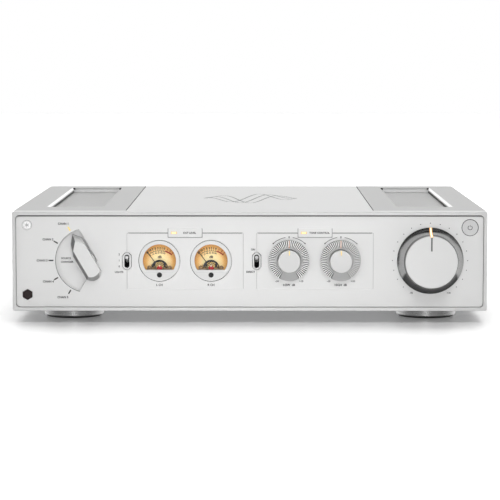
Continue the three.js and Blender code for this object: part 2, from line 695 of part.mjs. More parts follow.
function tailArc(tail, halfWidth, across) {
  const lean = Math.asin(halfWidth / HANDLE_TAIL_ROUND);
  const points = [];
  for (let step = 0; step <= CURVE_STEPS; step += 1) {
    const angle = lean * (1 - (2 * step) / CURVE_STEPS);
    points.push([
      tail - HANDLE_TAIL_ROUND * (1 - Math.cos(angle)),
      across + HANDLE_TAIL_ROUND * Math.sin(angle),
    ]);
  }
  return points;
}

function handleSolid() {
  const crest = [
    [-HANDLE_CREST_TIP, 0], [-HANDLE_SHOULDER, HANDLE_HALF_WIDTH], [-HANDLE_SHOULDER, -HANDLE_HALF_WIDTH],
    ...tailArc(HANDLE_TAIL, HANDLE_HALF_WIDTH, 0),
  ];
  const foot = [
    [-HANDLE_TIP, 0], [-HANDLE_KEEL_SHOULDER, HANDLE_KEEL_HALF_WIDTH],
    [-HANDLE_KEEL_SHOULDER, -HANDLE_KEEL_HALF_WIDTH],
    [-HANDLE_FLARE_START, -HANDLE_HALF_WIDTH - HANDLE_FLARE],
    ...tailArc(HANDLE_TAIL + HANDLE_TAIL_FLARE, HANDLE_HALF_WIDTH + HANDLE_FLARE / 2, -HANDLE_FLARE / 2),
  ];
  const faceY = PANEL_FRONT - HANDLE_PROUD;
  const footY = PANEL_FRONT - KNOB_LIFT;
  const grip = solidOf(new ConvexGeometry([
    ...crest.map((point) => handlePoint(point, faceY)),
    ...foot.map((point) => handlePoint(point, footY)),
  ]));
  const keelOutline = polygon([
    [-HANDLE_TIP, 0], [-HANDLE_KEEL_SHOULDER, -HANDLE_KEEL_HALF_WIDTH], [0, -HANDLE_KEEL_HALF_WIDTH],
    [0, HANDLE_KEEL_HALF_WIDTH], [-HANDLE_KEEL_SHOULDER, HANDLE_KEEL_HALF_WIDTH],
  ]);
  const keelBack = PANEL_FRONT + POCKET_DEPTH - FIT_GAP;
  const keelFront = footY - EDGE_CHAMFER;
  const keel = plate(keelOutline, keelFront, keelBack);
  const hub = rod(POCKET_HALF_WIDTH - POCKET_CLEARANCE, keelFront, keelBack, ROUND_FACETS);
  const pocketInside = plate(
    pocketShape(POCKET_RADIUS - POCKET_CLEARANCE, POCKET_HALF_WIDTH - POCKET_CLEARANCE),
    keelFront - CUT_OVERRUN, keelBack + CUT_OVERRUN, ROUND_FACETS);
  const turnBack = THREE.MathUtils.radToDeg(handleTurn);
  const placed = join(grip, keel.intersect(pocketInside.rotate([0, turnBack, 0])), hub);
  const recess = rod(BUSH_RADIUS + BUSH_CLEARANCE, bushFront - FIT_GAP, keelBack + CUT_OVERRUN);
  const bore = rod(SHAFT_RADIUS + FIT_GAP, faceY + HANDLE_FACE_WALL, keelBack + CUT_OVERRUN);
  return cut(placed, recess, bore);
}

function selector() {
  const handle = piece('selector_handle', handleSolid(), anodised(), front, SELECTOR_X, 0, CONTROL_Z);
  handle.rotation.y = -handleTurn;
  const shaftFront = PANEL_FRONT - HANDLE_PROUD + HANDLE_FACE_WALL + FIT_GAP;
  const shaft = rod(SHAFT_RADIUS, shaftFront, shaftBack);
  piece('selector_shaft', shaft, steel(), front, SELECTOR_X, 0, CONTROL_Z);
  const body = controlBody(SWITCH_SIZE, SWITCH_DEPTH, bushFront);
  piece('selector_switch', body, darkPlastic(), front, SELECTOR_X, 0, CONTROL_Z);
}

// Fixed ring with slots between its radial fins, plain over a short arc at its foot
function toneRing() {
  const back = SECTION_FLOOR - FIT_GAP;
  const pitch = degrees(FIN_SPAN_DEG) / FIN_COUNT;
  const plainArc = 2 * Math.PI - degrees(FIN_SPAN_DEG);
  const first = (plainArc - Math.PI) / 2;
  const halfSlot = (pitch * FIN_SLOT_SHARE) / 2;
  const at = (radius, angle) => [radius * Math.cos(angle), radius * Math.sin(angle)];
  const outline = [];
  for (let slot = 0; slot <= FIN_COUNT; slot += 1) {
    const [near, far] = [first + pitch * slot - halfSlot, first + pitch * slot + halfSlot];
    outline.push(at(RING_RADIUS, near), at(FIN_ROOT_RADIUS, near), at(FIN_ROOT_RADIUS, far),
      at(RING_RADIUS, far));
  }
  for (let step = 1; step < CURVE_STEPS; step += 1) {
    outline.push(at(RING_RADIUS, first - plainArc * (1 - step / CURVE_STEPS)));
  }
  const shape = polygon(outline);
  const bore = new THREE.Path();
  bore.absarc(0, 0, RING_BORE, 0, 2 * Math.PI);
  shape.holes.push(bore);
  return plate(shape, back - RING_HEIGHT, back, SMALL_FACETS);
}

// Cap and shaft in one turned piece, hollow behind to clear the bush
function toneKnob() {
  const faceY = PANEL_FRONT - TONE_KNOB_PROUD;
  const baseY = SECTION_FLOOR - KNOB_LIFT;
  const recessTop = bushFront - FIT_GAP;
  return turned([
    [0, faceY], [TONE_KNOB_RADIUS - EDGE_CHAMFER, faceY], [TONE_KNOB_RADIUS, faceY + EDGE_CHAMFER],
    [TONE_KNOB_RADIUS, baseY], [TONE_KNOB_RECESS_RADIUS, baseY], [TONE_KNOB_RECESS_RADIUS, recessTop],
    [SHAFT_RADIUS, recessTop], [SHAFT_RADIUS, shaftBack], [0, shaftBack],
  ]);
}

function toneControl(name, x) {
  piece(`${name}_ring`, toneRing(), anodised(), front, x, 0, CONTROL_Z);
  piece(`${name}_knob`, toneKnob(), anodised(), front, x, 0, CONTROL_Z);
  const body = controlBody(POT_SIZE, POT_DEPTH, bushFront);
  piece(`${name}_pot`, body, steel(), front, x, 0, CONTROL_Z);
}

// Switch body whose front flange shows as the bezel
function toggleSwitch(name, x) {
  const flangeFront = PANEL_FRONT - TOGGLE_PROUD;
  const flange = plate(toggleOutline(0), flangeFront, BEHIND_PANEL + FIT_GAP);
  const [halfWidth, halfHeight] = [TOGGLE_BODY_WIDTH / 2, TOGGLE_BODY_HEIGHT / 2];
  const body = block([-halfWidth, halfWidth], [BEHIND_PANEL, BEHIND_PANEL + TOGGLE_BODY_DEPTH],
    [-halfHeight, halfHeight]);
  const slot = plate(
    roundedRectangle(TOGGLE_SLOT_WIDTH, TOGGLE_SLOT_HEIGHT, TOGGLE_SLOT_WIDTH / 2 - WELD_DISTANCE),
    flangeFront - CUT_OVERRUN, BEHIND_PANEL + TOGGLE_BODY_DEPTH - TOGGLE_FLOOR);
  piece(`${name}_switch`, cut(join(flange, body), slot), darkPlastic(), front, x, 0, TOGGLE_Z);
  const lever = piece(`${name}_lever`, leverSolid(), chrome(), front, x,
    BEHIND_PANEL + TOGGLE_PIVOT_DEPTH, TOGGLE_Z);
  lever.rotation.x = -degrees(LEVER_TILT_DEG);
}

// Bat lever about its own pivot, with the ball at the pivot
function leverSolid() {
  const ball = TOGGLE_SLOT_WIDTH / 2 - FIT_GAP;
  const tip = PANEL_FRONT - LEVER_REACH - BEHIND_PANEL - TOGGLE_PIVOT_DEPTH;
  const neck = -ball * Math.cos(Math.asin(LEVER_NECK_RADIUS / ball));
  const profile = [];
  for (let step = 0; step < CURVE_STEPS; step += 1) {
    const angle = (step / CURVE_STEPS) * (Math.PI - Math.asin(LEVER_NECK_RADIUS / ball));
    profile.push([ball * Math.sin(angle), ball * Math.cos(angle)]);
  }
  profile.push([LEVER_NECK_RADIUS, neck]);
  for (let step = 0; step <= CORNER_FACETS; step += 1) {
    const angle = (step / CORNER_FACETS) * (Math.PI / 2);
    profile.push([
      LEVER_TIP_RADIUS * Math.cos(angle),
      tip + LEVER_TIP_RADIUS * (1 - Math.sin(angle)),
    ]);
  }
  return turned(profile, TINY_FACETS);
}

function powerControl() {
  const z = CASE_CENTRE_Z + POWER_RISE;
  const back = PANEL_FRONT + POWER_LENGTH;
  const button = rod(POWER_RADIUS, PANEL_FRONT, back, ROUND_FACETS);
  piece('power_button', button, anodised(), front, POWER_X, 0, z);
  const floor = back + POWER_TRAVEL + FIT_GAP;
  const bore = POWER_RADIUS + FIT_GAP;
  const housing = rod(bore + POWER_HOUSING_WALL, BEHIND_PANEL, floor + POWER_HOUSING_FLOOR, ROUND_FACETS);
  const well = rod(bore, BEHIND_PANEL - CUT_OVERRUN, floor, ROUND_FACETS);
  piece('power_switch', cut(housing, well), darkPlastic(), front, POWER_X, 0, z);
}

function remoteWindow() {
  const lens = plate(hexagon(WINDOW_RADIUS), PANEL_FRONT, PANEL_FRONT + WINDOW_THICKNESS);
  piece('remote_window', lens, material(0x2a2020, 0.15, 0), front, WINDOW_X, 0, CASE_CENTRE_Z - WINDOW_DROP);
}

// Depths inside a meter, measured from the face of the front frame
const bezelBack = SECTION_FLOOR + BEZEL_THICKNESS;
const glassFront = bezelBack + FIT_GAP;
const glassBack = glassFront + GLASS_THICKNESS;
const meterBodyFront = glassBack + FIT_GAP;
const dialFront = SECTION_FLOOR + DIAL_DEPTH;
const dialBack = dialFront + DIAL_THICKNESS;
const meterBore = BEZEL_RADIUS - METER_LEDGE;
const meterBodyRadius = meterBore - FIT_GAP;
const meterInside = meterBodyRadius - METER_BODY_WALL;

// Round window with its lower part cut off by a straight edge
function meterBezel() {
  const lean = Math.asin(METER_WINDOW_CHORD / METER_WINDOW_RADIUS);
  const window = new THREE.Shape();
  window.absarc(0, 0, METER_WINDOW_RADIUS, -lean, Math.PI + lean);
  const opening = plate(window, SECTION_FLOOR - CUT_OVERRUN, bezelBack + CUT_OVERRUN, ROUND_FACETS);
  return cut(rod(BEZEL_RADIUS, SECTION_FLOOR, bezelBack, FINE_FACETS), opening);
}

// Cup behind the dial, with the movement's boss and the needle's pivot pin
function meterBody() {
  const back = meterBodyFront + METER_BODY_LENGTH;
  const cup = cut(rod(meterBodyRadius, meterBodyFront, back, ROUND_FACETS),
    rod(meterInside, meterBodyFront - CUT_OVERRUN, dialBack + FIT_GAP, ROUND_FACETS));
  const boss = rod(MOVEMENT_RADIUS, dialFront - MOVEMENT_RISE, back - CUT_OVERRUN);
  const pin = rod(PIVOT_PIN_RADIUS, SECTION_FLOOR + NEEDLE_DEPTH - FIT_GAP, dialFront, TINY_FACETS);
  return join(cup, join(boss, pin).translate([0, 0, -PIVOT_DROP]));
}

function meterDial() {
  const disc = rod(meterInside - FIT_GAP, dialFront, dialBack, ROUND_FACETS);
  const notch = rod(MOVEMENT_RADIUS + FIT_GAP, dialFront - CUT_OVERRUN, dialBack + CUT_OVERRUN)
    .translate([0, 0, -PIVOT_DROP]);
  return cut(disc, notch);
}

// Needle about its own pivot, pointing straight up
function needleSolid() {
  const back = NEEDLE_THICKNESS;
  const pointer = block([-NEEDLE_WIDTH / 2, NEEDLE_WIDTH / 2], [0, back], [0, NEEDLE_LENGTH]);
  const hub = rod(NEEDLE_HUB_RADIUS, 0, back, TINY_FACETS);
  const hole = rod(PIVOT_PIN_RADIUS + FIT_GAP, -CUT_OVERRUN, back + CUT_OVERRUN, TINY_FACETS);
  return cut(join(pointer, hub), hole);
}

function meter(hand, x) {
  const z = METER_Z;
  piece(`${hand}_meter_bezel`, meterBezel(), chrome(), front, x, 0, z);
  const glass = rod(meterBore - GLASS_MARGIN, glassFront, glassBack, ROUND_FACETS);
  piece(`${hand}_meter_glass`, glass, material(0xf4f6f6, 0.05, 0), front, x, 0, z);
  piece(`${hand}_meter_dial`, meterDial(), material(0xf6dfa6, 0.7, 0), front, x, 0, z);
  piece(`${hand}_meter_body`, meterBody(), darkPlastic(), front, x, 0, z);
  const needle = piece(`${hand}_meter_needle`, needleSolid(), darkPlastic(), front, x,
    SECTION_FLOOR + NEEDLE_DEPTH, z - PIVOT_DROP);
  needle.rotation.y = -degrees(NEEDLE_REST_DEG);
}

// Ring core between the chassis floor and the top
function transformer() {
  const low = CHASSIS_FLOOR + FIT_GAP;
  const high = low + TRANSFORMER_HEIGHT;
  const soft = TRANSFORMER_ROUNDING;
  const ring = turnedUpright([
    [TRANSFORMER_BORE, low], [TRANSFORMER_RADIUS - soft, low], [TRANSFORMER_RADIUS, low + soft],
    [TRANSFORMER_RADIUS, high - soft], [TRANSFORMER_RADIUS - soft, high], [TRANSFORMER_BORE, high],
    [TRANSFORMER_BORE, low],
  ]);
  piece('mains_transformer', ring, brass(), front, 0, TRANSFORMER_FRONT_MARGIN, 0);
}

function mainBoard() {
  const low = CHASSIS_FLOOR + STANDOFF_HEIGHT + FIT_GAP;
  const board = block([-BOARD_WIDTH / 2, BOARD_WIDTH / 2], [-BOARD_DEPTH / 2, BOARD_DEPTH / 2],
    [low, low + BOARD_THICKNESS]);
  piece('main_board', board, material(0x1f5134, 0.6, 0), front, 0, boardCentreY, 0);
}

// Finned block under each vent
function heatsink(name, side) {
  const half = HEATSINK_WIDTH / 2;
  const pitch = HEATSINK_WIDTH / (HEATSINK_FINS - 1 + HEATSINK_FIN_SHARE);
  const fin = pitch * HEATSINK_FIN_SHARE;
  const outline = [[-half, 0], [half, 0], [half, HEATSINK_HEIGHT], [half - fin, HEATSINK_HEIGHT]];
  for (let index = 1; index < HEATSINK_FINS; index += 1) {
    const right = half - index * pitch;
    outline.push([right + pitch - fin, HEATSINK_BASE], [right, HEATSINK_BASE], [right, HEATSINK_HEIGHT],
      [right - fin, HEATSINK_HEIGHT]);
  }
  const solid = plate(polygon(outline), -HEATSINK_LENGTH / 2, HEATSINK_LENGTH / 2);
  const x = side * (ventSpanX[0] + ventSpanX[1]) / 2;
  piece(name, solid, steel(), front, x, (ventSpanY[0] + ventSpanY[1]) / 2, CHASSIS_FLOOR + FIT_GAP);
}

const rearBottom = CHASSIS_FLOOR + FIT_GAP;
const rearTop = CASE_TOP - TOP_WALL - FIT_GAP;
const rearCentreZ = (rearBottom + rearTop) / 2;

// Heights of the two rows of sockets above the rear panel's middle
const socketRows = [-SOCKET_PITCH / 2, SOCKET_PITCH / 2];
const socketColumns = Array.from({ length: SOCKET_COLUMNS },
  (unused, column) => (column - (SOCKET_COLUMNS - 1) / 2) * SOCKET_PITCH);
const terminalPlaces = [-1, 1].flatMap((channel) => [-1, 1].map((pole) =>
  channel * TERMINAL_CHANNEL_PITCH / 2 + pole * TERMINAL_PITCH / 2));
const terminalBlockWidth = TERMINAL_CHANNEL_PITCH + TERMINAL_PITCH + 2 * TERMINAL_BLOCK_MARGIN;

// The rocker's well is beside the inlet, in the same body
const rockerShift = (INLET_BODY_WIDTH + ROCKER_WIDTH) / 2 + ROCKER_SPACING / 2;
const inletSpanX = [-INLET_BODY_WIDTH / 2, rockerShift + ROCKER_WIDTH / 2 + ROCKER_SPACING / 2];
const rockerPivotY = FIT_GAP + INLET_FLANGE - ROCKER_DEPTH / 2;
const rockerWell = ROCKER_DEPTH;

function rearPanel() {
  const sheet = block([-insideHalfWidth, insideHalfWidth], [-REAR_WALL, 0], [rearBottom, rearTop]);
  const span = [-REAR_WALL - CUT_OVERRUN, CUT_OVERRUN];
  const inlet = block([INLET_X + inletSpanX[0] - FIT_GAP, INLET_X + inletSpanX[1] + FIT_GAP],
    span, [rearCentreZ - INLET_BODY_HEIGHT / 2 - FIT_GAP, rearCentreZ + INLET_BODY_HEIGHT / 2 + FIT_GAP]);
  const balanced = [-1, 1].map((level) => rod(BALANCED_RADIUS + BALANCED_WALL + FIT_GAP, ...span)
    .translate([BALANCED_X, 0, rearCentreZ + level * BALANCED_PITCH / 2]));
  piece('rear_panel', cut(sheet, inlet, ...balanced), anodised(), rear);
}

// Plate with four threaded posts for the loudspeaker wires
function speakerTerminals() {
  const start = FIT_GAP;
  const half = terminalBlockWidth / 2;
  const base = block([-half, half], [start, start + TERMINAL_BLOCK_PLATE],
    [-TERMINAL_BLOCK_HEIGHT / 2, TERMINAL_BLOCK_HEIGHT / 2]);
  const flangeEnd = start + TERMINAL_BLOCK_PLATE + POST_FLANGE_HEIGHT;
  const posts = terminalPlaces.map((x) => turned([
    [0, start], [POST_FLANGE_RADIUS, start], [POST_FLANGE_RADIUS, flangeEnd],
    [POST_THREAD_RADIUS, flangeEnd], [POST_THREAD_RADIUS, POST_REACH - CAP_WALL - FIT_GAP],
    [0, POST_REACH - CAP_WALL - FIT_GAP],
  ], SMALL_FACETS).translate([x, 0, 0]));
  piece('speaker_terminals', join(base, ...posts), steel(), rear, TERMINAL_BLOCK_X, 0, rearCentreZ);
}

// Fluted screw cap on each post
function terminalCaps() {
  const names = ['right_minus', 'right_plus', 'left_minus', 'left_plus'];
  const back = POST_REACH;
  const inner = back - CAP_LENGTH;
  const outline = [];
  for (let flute = 0; flute < CAP_FLUTES * 2; flute += 1) {
    const radius = flute % 2 === 0 ? CAP_RADIUS : CAP_RADIUS * CAP_FLUTE_SHARE;
    const angle = (flute * Math.PI) / CAP_FLUTES;
    outline.push([radius * Math.cos(angle), radius * Math.sin(angle)]);
  }
  names.forEach((name, index) => {
    const cap = cut(plate(polygon(outline), inner, back),
      rod(POST_THREAD_RADIUS + FIT_GAP, inner - CUT_OVERRUN, back - CAP_WALL));
    const color = name.endsWith('plus') ? 0x9c1d1a : 0x191919;
    piece(`${name}_terminal_cap`, cap, material(color, 0.35, 0), rear,
      TERMINAL_BLOCK_X + terminalPlaces[index], 0, rearCentreZ);
  });
}

// Mains inlet with its three blades in an open cavity, and the well of the mains rocker beside it
function mainsInlet() {
  const flangeBack = FIT_GAP + INLET_FLANGE;
  const high = INLET_BODY_HEIGHT / 2;
  const flange = block([inletSpanX[0] - INLET_MARGIN, inletSpanX[1] + INLET_MARGIN], [FIT_GAP, flangeBack],
    [-high - INLET_MARGIN / 2, high + INLET_MARGIN / 2]);
  const body = block(inletSpanX, [FIT_GAP - INLET_BODY_DEPTH, flangeBack], [-high, high]);
  const [wide, tall] = [INLET_CAVITY_WIDTH / 2, INLET_CAVITY_HEIGHT / 2];
  const floor = flangeBack - INLET_CAVITY_DEPTH;
  const cavity = plate(polygon([
    [-wide, -tall], [wide, -tall], [wide, tall - INLET_CAVITY_CHAMFER],
    [wide - INLET_CAVITY_CHAMFER, tall], [INLET_CAVITY_CHAMFER - wide, tall],
    [-wide, tall - INLET_CAVITY_CHAMFER],
  ]), floor, flangeBack + CUT_OVERRUN);
  const blade = (x, z) => block([x - INLET_PIN_WIDTH / 2, x + INLET_PIN_WIDTH / 2],
    [floor - CUT_OVERRUN, floor + INLET_PIN_LENGTH], [z - INLET_PIN_HEIGHT / 2, z + INLET_PIN_HEIGHT / 2]);
  const blades = [blade(-INLET_PIN_PITCH, -INLET_PIN_DROP), blade(0, INLET_PIN_DROP),
    blade(INLET_PIN_PITCH, -INLET_PIN_DROP)];
  const [wellWide, wellTall] = [ROCKER_WIDTH / 2 + FIT_GAP, ROCKER_HEIGHT / 2 + FIT_GAP];
  const well = block([rockerShift - wellWide, rockerShift + wellWide],
    [rockerPivotY - rockerWell, flangeBack + CUT_OVERRUN], [-wellTall, wellTall]);
  const inlet = join(cut(join(flange, body), cavity, well), ...blades);
  piece('mains_inlet', inlet, darkPlastic(), rear, INLET_X, 0, rearCentreZ);
}

// The rocker rests with its upper half pressed in, and tips about a cross pivot
function mainsRocker() {
  const rocker = piece('mains_rocker', rockerSolid(), darkPlastic(), rear,
    INLET_X + rockerShift, rockerPivotY, rearCentreZ);
  rocker.rotation.x = degrees(ROCKER_TILT_DEG);
}

// Shallow vee across the face, and a rounded back that clears the well as it tips
function rockerSolid() {
  const half = ROCKER_HEIGHT / 2;
  const slope = Math.tan(degrees(ROCKER_TILT_DEG)) * half;
  const face = ROCKER_DEPTH / 2 + ROCKER_PROUD - slope;
  const back = -ROCKER_DEPTH / 2;
  const trim = half * Math.cos(degrees(ROCKER_TILT_DEG)) - FIT_GAP;
  return crosswise([[face, 0], [face + slope, trim], [0, trim], [back, trim / 2], [back, -trim / 2],
    [0, -trim], [face + slope, -trim]], ROCKER_WIDTH);
}

// Two rows of phono sockets with an earth post beside them
function inputSockets() {
  const start = FIT_GAP;
  const face = start + SOCKET_PLATE_THICKNESS;
  const half = socketColumns.at(-1) + SOCKET_MARGIN;
  const tall = socketRows[1] + SOCKET_MARGIN;
  const earthX = half + SOCKET_MARGIN / 2;
  const base = block([-half, half + SOCKET_MARGIN], [start, face], [-tall, tall]);
  const barrels = socketColumns.flatMap((x) => socketRows.map((z) =>
    rod(SOCKET_BARREL_RADIUS, start, face + SOCKET_BARREL_LENGTH, TINY_FACETS).translate([x, 0, z])));
  const bores = socketColumns.flatMap((x) => socketRows.map((z) =>
    rod(SOCKET_BORE_RADIUS, face + SOCKET_BARREL_LENGTH - SOCKET_BORE_DEPTH,
      face + SOCKET_BARREL_LENGTH + CUT_OVERRUN, TINY_FACETS).translate([x, 0, z])));
  const earth = rod(EARTH_RADIUS, start, face + EARTH_LENGTH, TINY_FACETS)
    .translate([earthX, 0, socketRows[0]]);
  const sockets = cut(join(base, ...barrels, earth), ...bores);
  piece('input_sockets', sockets, brass(), rear, SOCKET_PLATE_X, 0, rearCentreZ);
}

// One flanged block with the two balanced inputs
function balancedInputs() {
  const start = FIT_GAP;
  const face = start + BALANCED_FLANGE;
  const outer = BALANCED_RADIUS + BALANCED_WALL;
  const tall = BALANCED_PITCH / 2 + outer + BALANCED_FLANGE_MARGIN;
  const flange = block([-BALANCED_FLANGE_WIDTH / 2, BALANCED_FLANGE_WIDTH / 2], [start, face], [-tall, tall]);
  const levels = [-BALANCED_PITCH / 2, BALANCED_PITCH / 2];
  const shells = levels.map((z) => rod(outer, start - BALANCED_DEPTH, face).translate([0, 0, z]));
  const mouths = levels.map((z) =>
    rod(BALANCED_RADIUS, start - BALANCED_DEPTH + BALANCED_FLOOR, face + CUT_OVERRUN).translate([0, 0, z]));
  const sockets = cut(join(flange, ...shells), ...mouths);
  piece('balanced_inputs', sockets, darkPlastic(), rear, BALANCED_X, 0, rearCentreZ);
}

frontFrame();
frontPanel();
sideCasing('left_casing', -1);
sideCasing('right_casing', 1);
topPlate();
ventMesh('left_vent_mesh', -1);
ventMesh('right_vent_mesh', 1);
bottomPlate();
rearPanel();
feet();
volumeKnob();
volumeLightBar();
volumeDrive();
selector();
toneControl('bass', BASS_X);
toneControl('treble', TREBLE_X);
toggleSwitch('dimmer', DIMMER_X);
toggleSwitch('tone', TONE_SWITCH_X);
powerControl();
remoteWindow();
meter('left', METER_LEFT_X);
meter('right', METER_RIGHT_X);
transformer();
mainBoard();
heatsink('left_heatsink', -1);
heatsink('right_heatsink', 1);
speakerTerminals();
terminalCaps();
mainsInlet();
mainsRocker();
inputSockets();
balancedInputs();

export default amplifier;
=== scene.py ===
"""Looks of a low silver integrated amplifier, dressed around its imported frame.

Lengths are millimetres in the row frame until a mesh is finished, and metres from there on.
"""

import logging
import math
from dataclasses import dataclass, field
from enum import Enum
from typing import Callable, Iterable, Sequence

import bmesh
import bpy
from mathutils import Matrix, Vector


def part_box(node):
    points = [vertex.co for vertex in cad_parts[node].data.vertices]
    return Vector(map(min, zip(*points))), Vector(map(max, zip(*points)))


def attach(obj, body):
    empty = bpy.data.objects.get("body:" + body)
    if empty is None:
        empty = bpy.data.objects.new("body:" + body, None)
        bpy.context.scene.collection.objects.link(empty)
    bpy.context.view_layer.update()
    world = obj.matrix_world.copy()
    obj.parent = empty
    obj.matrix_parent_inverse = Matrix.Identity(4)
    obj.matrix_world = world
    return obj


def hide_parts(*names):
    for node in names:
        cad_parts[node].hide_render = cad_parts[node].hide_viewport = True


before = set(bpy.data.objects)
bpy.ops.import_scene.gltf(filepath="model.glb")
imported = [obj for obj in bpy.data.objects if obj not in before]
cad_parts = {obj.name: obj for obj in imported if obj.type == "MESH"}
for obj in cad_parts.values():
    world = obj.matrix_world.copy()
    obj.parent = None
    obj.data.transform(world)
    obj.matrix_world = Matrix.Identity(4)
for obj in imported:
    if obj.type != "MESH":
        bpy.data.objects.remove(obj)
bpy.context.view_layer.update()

LOG = logging.getLogger("amplifier")
MM = 0.001
MERGE_DISTANCE = 0.002
FULL_TURN = 2 * math.pi
CIRCLE = 360
QUARTER = 90
TURN_STEPS = 96
SMALL_TURN_STEPS = 32
CORNER_STEPS = 6
SMOOTH_ANGLE = math.radians(32)
SHARP_ANGLE = math.radians(40)
FLAT_ANGLE = math.radians(0.4)
INK_DEPTH = 0.04
CAPITAL_SHARE = 0.682
LIGHT_SHARE = 0.03
HEAVY_SHARE = 0.05
DOT_STEPS = 12
CUT_MARGIN = 1.0
ROUND_PROFILE = 0.5
WHITE = (1, 1, 1, 1)
CHASSIS = "chassis"
NEEDLE_HUB = 1.8
VENT_WIDTH = 49.0

# How much of a face's normal lies along an axis, from a slight lean to a face that is level.
LEAN = 0.2
TILT = 0.3
SLOPE = 0.5
STEEP = 0.6
SQUARE = 0.9
FLAT = 0.95
LEVEL = 0.99

Point = tuple[float, float]
Triple = tuple[float, float, float]
Colour = tuple[float, float, float]
Edge = bmesh.types.BMEdge
Face = bmesh.types.BMFace
Node = bpy.types.Node
Socket = bpy.types.NodeSocket


class Facing(Enum):
    """The way that lettering looks, as a turn in degrees from the front."""

    FRONT = 0
    BACK = 180


@dataclass(frozen=True)
class Extent:
    """Lowest and highest corner of a CAD node, in millimetres."""

    low: Vector
    high: Vector

    @classmethod
    def of(cls, node: str) -> "Extent":
        """Reads a node's box at rest from the frame."""
        low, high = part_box(node)
        return cls(low / MM, high / MM)

    @property
    def centre(self) -> Vector:
        """Middle of the box."""
        return (self.low + self.high) / 2

    @property
    def size(self) -> Vector:
        """Length of the box along each axis."""
        return self.high - self.low


def linear(colour: Sequence[float]) -> Colour:
    """Turns a display colour from 0 to 255 into linear light."""
    shares = [channel / 255 for channel in colour]
    return tuple(s / 12.92 if s <= 0.04045 else ((s + 0.055) / 1.055) ** 2.4 for s in shares)


def grey(level: float) -> Colour:
    """A neutral colour in linear light."""
    return (level, level, level)


def panel_face() -> float:
    """Depth of the panel's face, which the power button is flush with."""
    return Extent.of("power_button").low.y


def in_scene(name: str, data: bpy.types.ID) -> bpy.types.Object:
    """Puts a mesh, curve, light or camera in the scene as an object."""
    made = bpy.data.objects.new(name, data)
    bpy.context.scene.collection.objects.link(made)
    return made


def spot(face: Face) -> Vector:
    """Middle of a face."""
    return face.calc_center_median()


